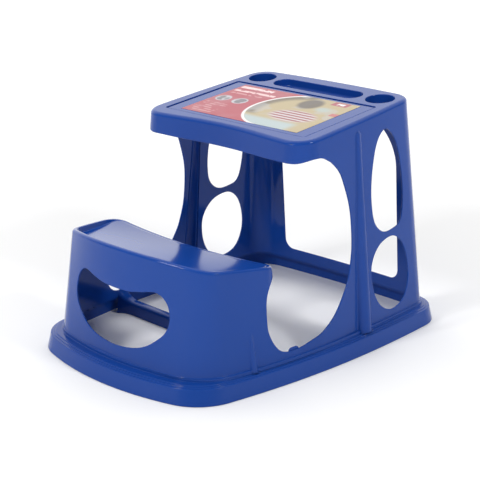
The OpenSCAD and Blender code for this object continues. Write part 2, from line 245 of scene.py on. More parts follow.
# ---------------------------------------------------------------- curves
def curve(points, closed=True, step=3.0, relax=2):
    """A smooth curve through a few points, sampled evenly about every step millimetres."""
    p = np.array(points, float)
    n = len(p)
    out = []
    for i in range(n if closed else n - 1):
        k = [(i + j) % n if closed else min(max(i + j, 0), n - 1) for j in (-1, 0, 1, 2)]
        a, b, c, d = p[k]
        t = np.linspace(0, 1, 16, endpoint=False)[:, None]
        out.append(0.5*(2*b + (c - a)*t + (2*a - 5*b + 4*c - d)*t*t + (3*b - a - 3*c + d)*t**3))
    out = np.concatenate(out + ([] if closed else [p[-1:]]))
    out = resample(out, closed, step)
    for _ in range(relax):
        if closed:
            out = (np.roll(out, 1, 0) + 2*out + np.roll(out, -1, 0))/4
        else:
            out[1:-1] = (out[:-2] + 2*out[1:-1] + out[2:])/4
    return out


def resample(p, closed, step):
    loop = np.vstack([p, p[:1]]) if closed else p
    run = np.concatenate([[0], np.cumsum(np.linalg.norm(np.diff(loop, axis=0), axis=1))])
    count = max(int(round(run[-1]/step)), 2)
    at = np.linspace(0, run[-1], count, endpoint=False) if closed else np.linspace(0, run[-1], count + 1)
    return np.stack([np.interp(at, run, loop[:, k]) for k in range(p.shape[1])], -1)


def line(a, b, step=6.0):
    count = max(int(math.dist(a, b)/step), 1)
    return np.linspace(a, b, count + 1)


def arc2(centre, radius, start, end, count):
    a = np.radians(np.linspace(start, end, count))
    return np.stack([centre[0] + radius*np.cos(a), centre[1] + radius*np.sin(a)], -1)


# Openings: points that a curve runs through, [x, z] on the front and [y, z] on the sides
SMILE = [(0, 173), (34, 174), (62, 178.5), (98, 184), (121, 168), (129, 139), (122, 115), (106, 98),
         (80, 80), (46, 69), (0, 64.5)]
ARCH = [(29, 384), (46, 368), (59, 346), (77, 288), (80, 224), (74, 182), (60, 142), (26, 95),
        (-14, 67), (-47, 58), (-83, 52), (-119, 55), (-139, 74), (-152, 106), (-156, 135)]
UPPER_OVAL = [(202, 419), (230, 390), (244, 340), (249.5, 282), (239, 230), (210, 217.5), (178, 219),
              (153, 242), (145, 285), (148, 332), (161, 382), (178, 410)]
LOWER_OVAL = [(210, 203), (242, 182), (259, 140), (259, 98), (240, 64), (200, 53.5), (163, 72),
              (142, 110), (139, 158), (165, 193)]
REAR_OPENING = (159.0, 62.0, 415.0, 22.0, 105.0)  # half width, lower and upper edges, corner radii


# ---------------------------------------------------------------- mesh building
def inside(points, loop):
    """Which points lie inside a closed 2-D loop."""
    x, y = points[:, 0], points[:, 1]
    hit = np.zeros(len(points), bool)
    for (x0, y0), (x1, y1) in zip(loop, np.roll(loop, -1, 0)):
        if y0 == y1:
            continue
        cross = ((y0 > y) != (y1 > y)) & (x < (x1 - x0)*(y - y0)/(y1 - y0) + x0)
        hit ^= cross
    return hit


def within(points, loops):
    ok = inside(points, loops[0])
    for opening in loops[1:]:
        ok &= ~inside(points, opening)
    return ok


def triangulate(loops, spacing):
    """Fills the area between 2-D loops. The loops' own points come first, in order."""
    border = np.concatenate(loops)
    low, high = loops[0].min(0), loops[0].max(0)
    row = spacing*math.sqrt(3)/2
    grid = []
    for k, y in enumerate(np.arange(low[1] + row/2, high[1], row)):
        xs = np.arange(low[0] + (spacing/2 if k % 2 else 0), high[0], spacing)
        grid.append(np.stack([xs, np.full_like(xs, y)], -1))
    points = border
    if grid:
        grid = np.concatenate(grid)
        grid = grid[within(grid, loops)]
        if len(grid):
            near = np.array([np.min(np.sum((border - g)**2, 1)) for g in grid])
            points = np.concatenate([border, grid[near > (0.6*spacing)**2]])
    edges, at = [], 0
    for loop in loops:
        n = len(loop)
        edges += [(at + i, at + (i + 1) % n) for i in range(n)]
        at += n
    found = geometry.delaunay_2d_cdt([Vector(p) for p in points], edges, [], 0, 1e-6)
    origin = [o[0] for o in found[3]]
    faces = np.array([[origin[i] for i in f] for f in found[2]])
    keep = within(points[faces].mean(1), loops)
    return points, faces[keep]


class Builder:
    """Collects faces with a normal for each of their corners, then makes one object."""

    def __init__(self):
        self.points, self.faces, self.normals, self.count = [], [], [], 0

    def add(self, points):
        points = np.asarray(points, float).reshape(-1, 3)
        self.points.append(points)
        self.count += len(points)
        return np.arange(self.count - len(points), self.count)

    def face(self, corners, normals=None):
        self.faces.append([int(c) for c in corners])
        self.normals.append(None if normals is None else np.asarray(normals, float))

    def grid(self, points, normals, wrap=False):
        """Quads over rows and columns of points. wrap joins the last column to the first."""
        rows, cols = points.shape[:2]
        ids = self.add(points).reshape(rows, cols)
        for r in range(rows - 1):
            for c in range(cols if wrap else cols - 1):
                d = (c + 1) % cols
                quad = [(r, c), (r, d), (r + 1, d), (r + 1, c)]
                self.face([ids[k] for k in quad], [normals[k] for k in quad])
        return ids

    def sheet(self, top, low, faces, normals):
        """The two sides of a sheet over the same triangles."""
        upper, lower = self.add(top), self.add(low)
        for f in faces:
            self.face(upper[f], normals[f])
            self.face(lower[f][::-1], -normals[f][::-1])
        return upper, lower

    def strip(self, a, b, wrap=False):
        """Flat quads between two rows of points already added. They are joints that never show."""
        n = len(a)
        for i in range(n if wrap else n - 1):
            j = (i + 1) % n
            self.face([a[i], a[j], b[j], b[i]])

    def make(self, name, node, slot="blue_plastic"):
        """Turns the faces into an object in the slot's finish that stands for a CAD node."""
        mesh = bpy.data.meshes.new(name)
        points = np.concatenate(self.points)*MM
        # Points that fall together become one
        _, first, back = np.unique(np.round(points, 7), axis=0, return_index=True, return_inverse=True)
        back = back.reshape(-1)
        faces, normals = [], []
        for f, n in zip(self.faces, self.normals):
            ids = [int(back[i]) for i in f]
            keep = [k for k in range(len(ids)) if ids[k] != ids[k - 1]]
            if len(set(ids[k] for k in keep)) < 3:
                continue
            faces.append([ids[k] for k in keep])
            normals.append(None if n is None else n[keep])
        mesh.from_pydata(points[first].tolist(), [], faces)
        bm = bmesh.new()
        bm.from_mesh(mesh)
        bmesh.ops.recalc_face_normals(bm, faces=bm.faces)
        bm.to_mesh(mesh)
        bm.free()
        mesh.polygons.foreach_set("use_smooth", [True]*len(mesh.polygons))
        loop_normals = [None]*len(mesh.loops)
        for polygon, f, n in zip(mesh.polygons, faces, normals):
            flat = polygon.normal.copy()
            for k in polygon.loop_indices:
                v = mesh.loops[k].vertex_index
                loop_normals[k] = flat if n is None else Vector(n[f.index(v)]).normalized()
        mesh.normals_split_custom_set(loop_normals)
        mesh.materials.append(finish(slot))
        piece = bpy.data.objects.new(name, mesh)
        bpy.context.scene.collection.objects.link(piece)
        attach(piece, "root")
        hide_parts(node)


def left_normals(loop, closed):
    """Unit directions to the left of a 2-D polyline at each of its points."""
    if closed:
        d = np.roll(loop, -1, 0) - np.roll(loop, 1, 0)
    else:
        d = np.gradient(loop, axis=0)
    return unit(np.stack([-d[:, 1], d[:, 0]], -1))


def rim_rows(outer, inner, normal, out, rows=3):
    """Points and normals that round a free edge off from the outer face to the inner face."""
    angles = np.linspace(0, math.pi/2, rows + 1)[1:]
    points, normals = [], []
    for a in angles:
        points.append(outer + RIM_R*(math.sin(a)*out - (1 - math.cos(a))*normal))
        normals.append(math.cos(a)*normal + math.sin(a)*out)
    for a in angles[::-1]:
        points.append(inner + RIM_R*(math.sin(a)*out + (1 - math.cos(a))*normal))
        normals.append(-math.cos(a)*normal + math.sin(a)*out)
    return points, normals


def shell(builder, surface, loops, spacing=9.0):
    """A thick sheet over an area of a surface. Each loop is a list of (points, is_rim) stretches with the
    sheet on its left; a rim is a free, rounded edge and any other stretch meets a neighbour."""
    flat_loops, loop_rims = [], []
    for stretches in loops:
        pts, rims, outs = [], [], []
        closed_rim = len(stretches) == 1 and stretches[0][1]
        for p, is_rim in stretches:
            normal = left_normals(p, closed_rim)
            shift = p + RIM_R*normal if is_rim else p
            pts.append(shift if closed_rim else shift[:-1])
            rims.append(np.full(len(pts[-1]), is_rim))
            outs.append(-normal if closed_rim else -normal[:-1])
        # A stretch that follows a rim starts on the rim's shifted end
        for k in range(len(stretches)):
            before, rim_before = stretches[k - 1]
            if rim_before and not stretches[k][1]:
                n = left_normals(before, False)[-1]
                pts[k][0] = before[-1] + RIM_R*n
                outs[k][0] = -n
        flat_loops.append(np.concatenate(pts))
        loop_rims.append((np.concatenate(rims), np.concatenate(outs)))
    flat, faces = triangulate(flat_loops, spacing)
    outer, normal = surface(flat)
    inner = outer - WALL*normal
    io, ii = builder.sheet(outer, inner, faces, normal)
    at = 0
    for loop, (rims, outs) in zip(flat_loops, loop_rims):
        n = len(loop)
        ids = np.arange(at, at + n)
        at += n
        step, _ = surface(loop + 0.3*outs)
        out = step - outer[ids]
        out = unit(out - np.sum(out*normal[ids], 1, keepdims=True)*normal[ids])
        rows, row_normals = rim_rows(outer[ids], inner[ids], normal[ids], out)
        row_ids = [io[ids]] + [builder.add(r) for r in rows] + [ii[ids]]
        row_normals = [normal[ids]] + row_normals + [-normal[ids]]
        for i in range(n):
            j = (i + 1) % n
            if rims[i]:
                for a, b, na, nb in zip(row_ids, row_ids[1:], row_normals, row_normals[1:]):
                    builder.face([a[i], a[j], b[j], b[i]], [na[i], na[j], nb[j], nb[i]])
            else:
                builder.face([io[ids[i]], io[ids[j]], ii[ids[j]], ii[ids[i]]])
            if rims[i] != rims[i - 1]:
                builder.face([r[i] for r in row_ids])


# ---------------------------------------------------------------- materials
def new_material(name):
    material = bpy.data.materials.new(name)
    material.use_nodes = True
    nodes, links = material.node_tree.nodes, material.node_tree.links
    return material, nodes, links, nodes["Principled BSDF"]


def plastic_material():
    """Glossy blue polypropylene, coloured through, with the faint ripple of a moulded skin."""
    material, nodes, links, shader = new_material("blue_plastic")
    place = nodes.new("ShaderNodeTexCoord")

    def noise(scale, detail):
        cloud = nodes.new("ShaderNodeTexNoise")
        cloud.inputs["Scale"].default_value = scale
        cloud.inputs["Detail"].default_value = detail
        links.new(place.outputs["Object"], cloud.inputs["Vector"])
        return cloud.outputs["Fac"]

    tone = nodes.new("ShaderNodeValToRGB")
    tone.color_ramp.elements[0].position = 0.3
    tone.color_ramp.elements[0].color = (0.0065, 0.049, 0.275, 1)
    tone.color_ramp.elements[1].position = 0.7
    tone.color_ramp.elements[1].color = (0.0085, 0.056, 0.300, 1)
    links.new(noise(3.5, 3.0), tone.inputs["Fac"])
    links.new(tone.outputs["Color"], shader.inputs["Base Color"])
    rough = nodes.new("ShaderNodeMapRange")
    rough.inputs["To Min"].default_value = 0.09
    rough.inputs["To Max"].default_value = 0.15
    links.new(noise(22.0, 4.0), rough.inputs["Value"])
    links.new(rough.outputs["Result"], shader.inputs["Roughness"])
    bump = nodes.new("ShaderNodeBump")
    bump.inputs["Strength"].default_value = 0.03
    bump.inputs["Distance"].default_value = 0.002
    links.new(noise(38.0, 2.0), bump.inputs["Height"])
    links.new(bump.outputs["Normal"], shader.inputs["Normal"])
    shader.inputs["IOR"].default_value = 1.49
    shader.inputs["Specular IOR Level"].default_value = 0.22
    return material


MADE = {}                               # this script's own material for each slot


def finish(slot):
    """The material of a slot, made the first time that it is asked for."""
    if slot not in MADE:
        MADE[slot] = {"blue_plastic": plastic_material, "printed_label": label_material}[slot]()
    return MADE[slot]


# ---------------------------------------------------------------- seat formulas
def lip_top(x, y):
    """Top of the seat's lip and side rims."""
    return LIP_Z - x*x/(2*LIP_CROWN) - (y - LIP_Y)*LIP_SLOPE


def seat_rear(x):
    return SEAT_REAR + x*x/SEAT_BOW


def seat_z(x, y):
    """The sitting surface: it rises to the front, most in the middle, and is dished across the rear."""
    back = seat_rear(x) - y
    rise = SEAT_RISE - SEAT_LOSS*np.minimum((x/150)**2, 1.9)
    return SEAT_Z + SEAT_DISH*(x/190)**2 + rise*back + SEAT_CURL*back*back


def find_seat_corner():
    """Where the side wall turns into the seat's rear edge: u, centre, first and last bearings."""
    last = math.radians(98.5)
    low, high = -175.0, -125.0
    for _ in range(40):
        y = (low + high)/2
        u = side_u(y, CORNER_Z)[0]
        p, n = wall(np.array([[u, CORNER_Z]]))
        out = unit(n[0, :2])
        centre = p[0, :2] - SEAT_CORNER*out
        end = centre + SEAT_CORNER*np.array([math.cos(last), math.sin(last)])
        if end[1] > seat_rear(end[0]):
            high = y
        else:
            low = y
    return u, centre, math.atan2(out[1], out[0]), last, end


CORNER_Z = 215.0                        # height at which the seat's rear corner is worked out
CORNER_LEAN = 0.08                      # outward lean of the seat's rear edge, downwards
TURN_LOW, TURN_RISE = 108.0, 34.0       # the wall starts to turn at this height, and over this much
CORNER_U, CORNER_C, CORNER_A0, CORNER_A1, CORNER_END = find_seat_corner()
CORNER_L = SEAT_CORNER*(CORNER_A1 - CORNER_A0)
SEAT_MID_U = CORNER_U + CORNER_L + CORNER_END[0]


def seat_wall_points(u, z):
    """The seat's outer wall. Past CORNER_U its upper part turns round the rear corner of the seat and runs
    along the rear edge to the middle plane, while its lower part keeps on along the side."""
    u, z = np.broadcast_arrays(np.atleast_1d(np.asarray(u, float)), np.asarray(z, float))
    plain = wall_points(u, z)
    side = np.where(u < 0, -1.0, 1.0)
    past = np.abs(u) - CORNER_U
    if not (past > 0).any():
        return plain
    angle = CORNER_A0 + np.clip(past, 0, CORNER_L)/SEAT_CORNER
    out = np.stack([np.cos(angle), np.sin(angle)], -1)
    turn = CORNER_C + SEAT_CORNER*out
    x = CORNER_END[0] - np.maximum(past - CORNER_L, 0)
    back = np.stack([x, seat_rear(x)], -1)
    back_out = unit(np.stack([-2*x/SEAT_BOW, np.ones_like(x)], -1))
    on_back = (past > CORNER_L)[:, None]
    at = np.where(on_back, back, turn)
    out = np.where(on_back, back_out, out)
    # The turn starts from the side wall's own lean and ends with the rear edge's
    start = wall_points(np.full(z.shape, CORNER_U), z)[:, :2] - wall_points(CORNER_U, CORNER_Z)[:, :2]
    first = np.array([math.cos(CORNER_A0), math.sin(CORNER_A0)])
    turned = smooth(past/CORNER_L)
    lean = (start @ first)*(1 - turned) + CORNER_LEAN*(CORNER_Z - z)*turned
    slip = (start @ np.array([-first[1], first[0]]))*(1 - turned)
    at = at + lean[:, None]*out + slip[:, None]*np.column_stack([-out[:, 1], out[:, 0]])
    at = np.column_stack([at[:, 0]*side, at[:, 1], z])
    share = smooth((z - TURN_LOW)/TURN_RISE)*(past > 0)
    return plain + (at - plain)*share[:, None]


def seat_wall(q):
    return with_normals(seat_wall_points, q)


def rim_top(u):
    """Height of the seat's edge: the raised rim at the front and sides fades out round the rear corner."""
    z = np.full(np.shape(u), LIP_Z - 20.0)
    for _ in range(6):
        p = seat_wall_points(u, z)
        level = seat_z(np.abs(p[:, 0]), p[:, 1])
        raised = lip_top(p[:, 0], p[:, 1])
        fade = smooth((np.abs(u) - CORNER_U + 18)/(CORNER_L*0.9 + 18))
        z = raised + (level - raised)*fade - LIP_R
    return z + LIP_R


# ---------------------------------------------------------------- walls
def lip_line(u):
    """Height at which the seat's wall at u turns into the rim."""
    return rim_top(u) - LIP_R


def deck_line(u):
    """Height at which the wall at u turns into the deck."""
    z = np.full(np.shape(u), DECK_Z)
    for _ in range(6):
        z = deck_z(wall_points(u, z)[:, 1]) - DECK_R
    return z


def mirror_loops(loops):
    """The same stretches on the left-hand side: u changes sign and so does the direction."""
    out = []
    for stretches in loops:
        out.append([(np.column_stack([-p[:, 0], p[:, 1]])[::-1], rim) for p, rim in stretches[::-1]])
    return out


def on_side(points):
    points = np.asarray(points, float)
    return np.column_stack([side_u(points[:, 0], points[:, 1]), points[:, 1]])


def hole(points):
    """A closed free edge with the sheet on its left, so it runs clockwise."""
    area = np.sum(points[:, 0]*np.roll(points[:, 1], -1) - points[:, 1]*np.roll(points[:, 0], -1))
    return [(points[::-1] if area > 0 else points, True)]


U_FRONT = float(front_u(FRONT_SPLIT, PLINTH_Z)[0])
ARCH_CURVE = curve(ARCH, closed=False)
SPLIT_AT = int(np.argmax(ARCH_CURVE[:, 0] <= SEAT_SPLIT))


def arch_split():
    """The point of the arch at which the seat's wall takes over from the side frame."""
    a, b = ARCH_CURVE[SPLIT_AT - 1], ARCH_CURVE[SPLIT_AT]
    return a + (b - a)*((a[0] - SEAT_SPLIT)/(a[0] - b[0]))


def top_line(u0, u1, height):
    u = np.linspace(u0, u1, max(int(abs(u1 - u0)/4), 2) + 1)
    return np.column_stack([u, height(u)])


def panel(name, node, surface, u0, u1, height, opening):
    """A wall panel with one opening, from the foot's fillet up to the line that height gives."""
    top = top_line(u1, u0, height)
    outer = [
        (line((u0, FOOT_Z), (u1, FOOT_Z)), False),
        (line((u1, FOOT_Z), top[0]), False),
        (top, False),
        (line(top[-1], (u0, FOOT_Z)), False),
    ]
    b = Builder()
    shell(b, surface, [outer, hole(opening)])
    b.make(name, node)


def seat_front():
    smile = curve(SMILE + [(-x, z) for x, z in SMILE[-2:0:-1]])
    smile = np.column_stack([front_u(smile[:, 0], smile[:, 1]), smile[:, 1]])
    panel("seat_front_panel", "seat_front", seat_wall, -U_FRONT, U_FRONT, lip_line, smile)


# Free edge of the seat's side wall above the arch: [distance past the rear corner's start, height]
SEAT_EDGE = [(-5.0, 112), (-5.0, 126), (-4.6, 142), (-3.0, 160), (2.0, 176), (10.0, 189),
             (24, 198), (44, 200), (75, 199.5)]
EDGE_MEETS = 104                        # height at which that edge takes over from the arch


def seat_side_loops():
    low = ARCH_CURVE[SPLIT_AT:]
    arch = on_side(np.vstack([arch_split(), low[low[:, 1] < EDGE_MEETS]]))
    upper = curve([(CORNER_U + t, z) for t, z in SEAT_EDGE] + [(SEAT_MID_U, 198.5)], closed=False)
    edge = np.vstack([arch, upper])
    edge = resample(edge, False, 3.0)
    for _ in range(3):
        edge[1:-1] = (edge[:-2] + 2*edge[1:-1] + edge[2:])/4
    u_split = edge[0, 0]
    top = top_line(SEAT_MID_U, U_FRONT, lip_line)
    return [[
        (line((U_FRONT, FOOT_Z), (u_split, FOOT_Z)), False),
        (line((u_split, FOOT_Z), edge[0]), False),
        (edge, True),
        (line(edge[-1], top[0]), False),
        (top, False),
        (line(top[-1], (U_FRONT, FOOT_Z)), False),
    ]]


# Ribs: (y, z) of foot and head, then half widths, heights and fillets at the foot and the head
DESK_RIB = dict(foot=(105.5, LEDGE_Z), head=(108.5, 420.0), width=(18.5, 9.8), rise=(16.0, 5.0),
                fillet=(4.0, 3.0), steps=(193.0, 302.0))
SEAT_RIB = dict(foot=(-190.0, LEDGE_Z), head=(-190.0, 104.0), width=(9.0, 3.0), rise=(7.5, 0.6),
                fillet=(4.0, 3.0), steps=())
RIB_FLARE = 2.5                         # flare at a rib's foot
RIB_STEP = 0.5                          # how much a rib thins at each of its steps


def bump_section(width, rise, fillet, base, count=14):
    """Half-round rib section: distances along the wall, heights and normals, from edge to edge."""
    radius = (width*width + rise*rise)/(2*rise)
    middle = rise - radius
    reach = math.sqrt(max((radius + fillet)**2 - (fillet - middle)**2, 1e-9))
    lean = math.atan2(reach, fillet - middle)
    q, h, n = [], [], []
    for a in np.linspace(0, lean, 7):
        q.append(-reach + fillet*math.sin(a))
        h.append(fillet - fillet*math.cos(a))
        n.append((-math.sin(a), math.cos(a)))
    for a in np.linspace(-lean, lean, count + 1)[1:-1]:
        q.append(radius*math.sin(a))
        h.append(middle + radius*math.cos(a))
        n.append((math.sin(a), math.cos(a)))
    for a in np.linspace(lean, 0, 7):
        q.append(reach - fillet*math.sin(a))
        h.append(fillet - fillet*math.cos(a))
        n.append((math.sin(a), math.cos(a)))
    return np.array(q), np.array(h) + base, np.array(n), reach


def rib_rows(rib):
    """Heights, centres, half widths and rises of a rib from its flared foot to its domed head."""
    (y0, z0), (y1, z1) = rib["foot"], rib["head"]
    rows = []
    for a in np.linspace(0, math.pi/2, 5)[:-1]:
        rows.append((z0 + RIB_FLARE*(1 - math.cos(a)), RIB_FLARE*(1 - math.sin(a)), 1.0))
    levels = set(np.linspace(z0 + RIB_FLARE, z1, 40))
    for step in rib["steps"]:
        levels |= {step - 0.6, step, step + 0.6}
    for z in sorted(levels):
        rows.append((z, 0.0, 1.0))
    head = rib["width"][1]
    for a in np.linspace(0, math.radians(86), 9)[1:]:
        rows.append((z1 + head*math.sin(a), 0.0, math.cos(a)))
    out = []
    for z, extra, scale in rows:
        f = min((z - z0)/(z1 - z0), 1.0)
        width = (rib["width"][0]*(1 - f) + rib["width"][1]*f + extra)*scale
        rise = (rib["rise"][0]*(1 - f) + rib["rise"][1]*f + extra)*scale
        rise -= RIB_STEP*sum(float(smooth((z - step)/1.2 + 0.5)) for step in rib["steps"])
        fillet = (rib["fillet"][0]*(1 - f) + rib["fillet"][1]*f)*max(scale, 0.2)
        out.append((z, y0 + (y1 - y0)*f, width, rise, fillet))
    return out


def rib_face(rib, thin, base, side):
    """Grid of one face of a rib, following the wall under it. side is 1 for the right, -1 for the left."""
    points, normals = [], []
    for z, y, width, rise, fillet in rib_rows(rib):
        q, h, n, _ = bump_section(max(width - thin, 0.3), rise, fillet if thin == 0 else fillet*0.6, base)
        u = (side_u(y, z)[0] + q)*side
        p, out = wall(np.column_stack([u, np.full(len(u), z)]))
        along = unit(wall_points(u + 0.5, z) - wall_points(u - 0.5, z))*side
        points.append(p + h[:, None]*out)
        normals.append(unit(n[:, :1]*along + n[:, 1:]*out))
    return np.array(points), np.array(normals)


def rib_footprint(rib):
    """The patch of wall that a rib stands in for, from its right foot over its head to its left foot."""
    left, right = [], []
    for z, y, width, rise, fillet in rib_rows(rib):
        reach = bump_section(width, rise, fillet, 0.0)[3]
        u = side_u(y, z)[0]
        if z > FOOT_Z:
            left.append((u - reach, z))
            right.append((u + reach, z))
    return np.array(left), np.array(right)


def make_rib(name, rib, side, node):
    b = Builder()
    outer, outer_n = rib_face(rib, 0.0, 0.0, side)
    inner, inner_n = rib_face(rib, WALL, -WALL, side)
    io = b.grid(outer, outer_n)
    ii = b.grid(inner, -inner_n)
    for c in (0, -1):
        b.strip(io[:, c], ii[:, c])
    for r in (0, -1):
        b.strip(io[r], ii[r])
    b.make(name, node)


def side_frame_loops():
    arch = on_side(np.vstack([ARCH_CURVE[:SPLIT_AT], arch_split()]))
    u_rear = side_u(REAR_SPLIT, FOOT_Z)[0]
    left, right = rib_footprint(DESK_RIB)
    left = np.vstack([[left[0, 0], FOOT_Z], left])
    right = np.vstack([[right[0, 0], FOOT_Z], right])
    rib_edge = np.vstack([left, right[::-1]])
    top = top_line(u_rear, arch[0, 0], deck_line)
    start = arch[-1]
    return [
        [
            (line((start[0], FOOT_Z), left[0]), False),
            (rib_edge, False),
            (line(right[0], (u_rear, FOOT_Z)), False),
            (line((u_rear, FOOT_Z), top[0]), False),
            (top, False),
            (line(top[-1], arch[0]), False),
            (arch, True),
            (line(arch[-1], (start[0], FOOT_Z)), False),
        ],
        hole(on_side(curve(UPPER_OVAL))),
        hole(on_side(curve(LOWER_OVAL))),
    ]


def make_sides():
    for side, word in ((1, "right"), (-1, "left")):
        for part, loops, node in (("seat_side", seat_side_loops(), "seat_side_"),
                                  ("side_frame", side_frame_loops(), "side_frame_")):
            b = Builder()
            shell(b, seat_wall if part == "seat_side" else wall, loops if side > 0 else mirror_loops(loops))
            b.make(f"{part}_{word}_panel", node + word)
        make_rib(f"desk_rib_{word}", DESK_RIB, side, f"desk_column_{word}")
        make_rib(f"seat_rib_{word}", SEAT_RIB, side, f"seat_column_{word}")


def rear_frame():
    half, low, high, r_low, r_high = REAR_OPENING
    right = np.vstack([
        line((0, low), (half - r_low, low), 4)[:-1],
        arc2((half - r_low, low + r_low), r_low, -90, 0, 12)[:-1],
        line((half, low + r_low), (half, high - r_high), 4)[:-1],
        arc2((half - r_high, high - r_high), r_high, 0, 90, 40)[:-1],
        line((half - r_high, high), (0, high), 4),
    ])
    ring = np.vstack([right, np.column_stack([-right[-2:0:-1, 0], right[-2:0:-1, 1]])])
    ring = np.column_stack([rear_u(ring[:, 0], ring[:, 1]), ring[:, 1]])
    u0 = side_u(REAR_SPLIT, FOOT_Z)[0]
    panel("rear_frame_panel", "rear_frame", wall, u0, 2*REAR_U - u0, deck_line, ring)


# ---------------------------------------------------------------- base
def rounded(points, radii, count=5):
    """A profile through corner points with each corner rounded: points and the normals on its left."""
    p = np.array(points, float)
    out, normals = [], []
    for i in range(len(p)):
        if i in (0, len(p) - 1) or radii[i] == 0:
            ends = [(p[max(i, 1) - 1], p[max(i, 1)])] if i == 0 else [(p[i - 1], p[i])]
            if 0 < i < len(p) - 1:
                ends.append((p[i], p[i + 1]))
            for a, b in ends:
                d = unit(b - a)
                out.append(p[i])
                normals.append((-d[1], d[0]))
            continue
        a, b = unit(p[i - 1] - p[i]), unit(p[i + 1] - p[i])
        half = math.acos(np.clip(a @ b, -1, 1))/2
        reach = radii[i]/math.tan(half)
        centre = p[i] + unit(a + b)*radii[i]/math.sin(half)
        start, end = p[i] + a*reach, p[i] + b*reach
        turn = np.sign(a[0]*b[1] - a[1]*b[0])
        for f in np.linspace(0, 1, count):
            n0, n1 = unit(start - centre), unit(end - centre)
            angle = math.acos(np.clip(n0 @ n1, -1, 1))
            d = (math.sin((1 - f)*angle)*n0 + math.sin(f*angle)*n1)/max(math.sin(angle), 1e-9)
            out.append(centre + radii[i]*d)
            normals.append(d*turn)
    return np.array(out), np.array(normals)


def ring_columns():
    parts = []
    for k, n in enumerate((22, 20, 14, 16, 18, 14)):
        parts.append(np.linspace(KNOTS[k], KNOTS[k + 1], n, endpoint=False))
    half = np.concatenate(parts)
    return np.concatenate([half, [REAR_U], -half[:0:-1]])


def ring_rows(outline, points, radii, u):
    """Rows of points and normals for a rounded profile, (offset outwards, height), round an outline."""
    profile, normal = rounded(points, radii)
    rows, normals = [], []
    for (o, z), (no, nz) in zip(profile, normal):
        p, out = outline_points(outline, u, -o)
        rows.append(np.column_stack([p, np.full(len(p), z)]))
        normals.append(np.column_stack([no*out, np.full(len(p), nz)]))
    return rows, normals


SKIRT_LOW, SKIRT_HIGH = 6.0, 28.2       # the skirt between the floor rim and the ledge
SKIRT_LEAN = 0.235                      # how far the skirt leans in for its height
STEP_HIGH, STEP_LOW = 32.8, 30.9        # tops of the two low steps that run round the ledge
LEDGE_EDGE = 30.6                       # where the ledge rounds over into the skirt


def make_base():
    u = ring_columns()
    outer, outer_n = [], []

    def skirt(height, inset=0.0):
        """A point on the skirt, or inside it by inset: offset from the base outline, and height."""
        return -inset - SKIRT_LEAN*height, height

    def extend(outline, points, radii):
        rows, normals = ring_rows(outline, points, radii, u)
        outer.extend(rows)
        outer_n.extend(normals)
        return len(outer)

    # From the wall down its fillet, over the plinth, the ledge and its two low steps, to the skirt
    extend(FOOT, [(-DRAFT*FOOT_R, FOOT_Z), (0, PLINTH_Z), (FOOT_R + 0.1, PLINTH_Z)], [0, FOOT_R - 0.1, 0])
    extend(PLINTH, [(-1.2, PLINTH_Z), (0, PLINTH_Z), (0.5, LEDGE_Z), (2.4, LEDGE_Z)], [0, 1.1, 1.2, 0])
    extend(BASE, [(-18.2, LEDGE_Z), (-17.2, LEDGE_Z), (-16.2, STEP_HIGH + 0.1), (-14.4, STEP_HIGH)],
           [0, 0.9, 0.8, 0])
    extend(BASE, [(-14.4, STEP_HIGH), (-12.4, STEP_HIGH - 0.1), (-11.4, STEP_LOW + 0.1), (-9.6, STEP_LOW)],
           [0, 0.9, 0.8, 0])
    top = extend(BASE, [(-9.6, STEP_LOW), (-SKIRT_LEAN*LEDGE_EDGE, LEDGE_EDGE + 0.1), skirt(SKIRT_HIGH)],
                 [0, 1.8, 0])
    mid = extend(BASE, [skirt(SKIRT_HIGH), skirt(SKIRT_LOW)], [0, 0])
    extend(BASE, [skirt(SKIRT_LOW), (0, 0), (-WALL, 0), skirt(SKIRT_LOW, WALL)], [0, 1.0, 1.0, 0])
    low = len(outer)
    extend(BASE, [skirt(SKIRT_LOW, WALL), skirt(SKIRT_HIGH - 2, WALL)], [0, 0])
    inner = len(outer)
    under = LEDGE_Z - WALL
    extend(BASE, [skirt(SKIRT_HIGH - 2, WALL), skirt(27.5, WALL), (-13.5, 29.6), (-18, under)],
           [0, 1.0, 0, 0])
    below = PLINTH_Z - WALL
    extend(PLINTH, [(2.4, under), (-WALL + 0.5, under), (-WALL, below), (-WALL - 2.4, below)],
           [0, 0.8, 0.8, 0])
    extend(FOOT, [(0.6, below), (-WALL, below), (-WALL - DRAFT*FOOT_R, FOOT_Z)], [0, 0.8, 0])
    pieces = [
        ("base_ledge_ring", list(range(0, top)) + list(range(inner, len(outer))), "base_ledge"),
        ("base_skirt_ring", list(range(top, mid)) + list(range(low, inner)), "base_skirt"),
        ("floor_rim_ring", list(range(mid, low)), "floor_rim"),
    ]
    for name, rows, node in pieces:
        b = Builder()
        ids = [b.add(outer[r]) for r in rows]
        for k in range(len(rows)):
            a, c = rows[k - 1], rows[k]
            if k and c == a + 1:
                for i in range(len(u)):
                    j = (i + 1) % len(u)
                    b.face([ids[k - 1][i], ids[k - 1][j], ids[k][j], ids[k][i]],
                           [outer_n[a][i], outer_n[a][j], outer_n[c][j], outer_n[c][i]])
            else:
                b.strip(ids[k - 1], ids[k], wrap=True)
        b.make(name, node)


# ---------------------------------------------------------------- seat
def grid_normals(points, wrap):
    """Normals of a smooth grid from its own differences, rows first."""
    down = np.gradient(points, axis=0)
    if wrap:
        across = np.roll(points, -1, 1) - np.roll(points, 1, 1)
    else:
        across = np.gradient(points, axis=1)
    return unit(np.cross(across, down))


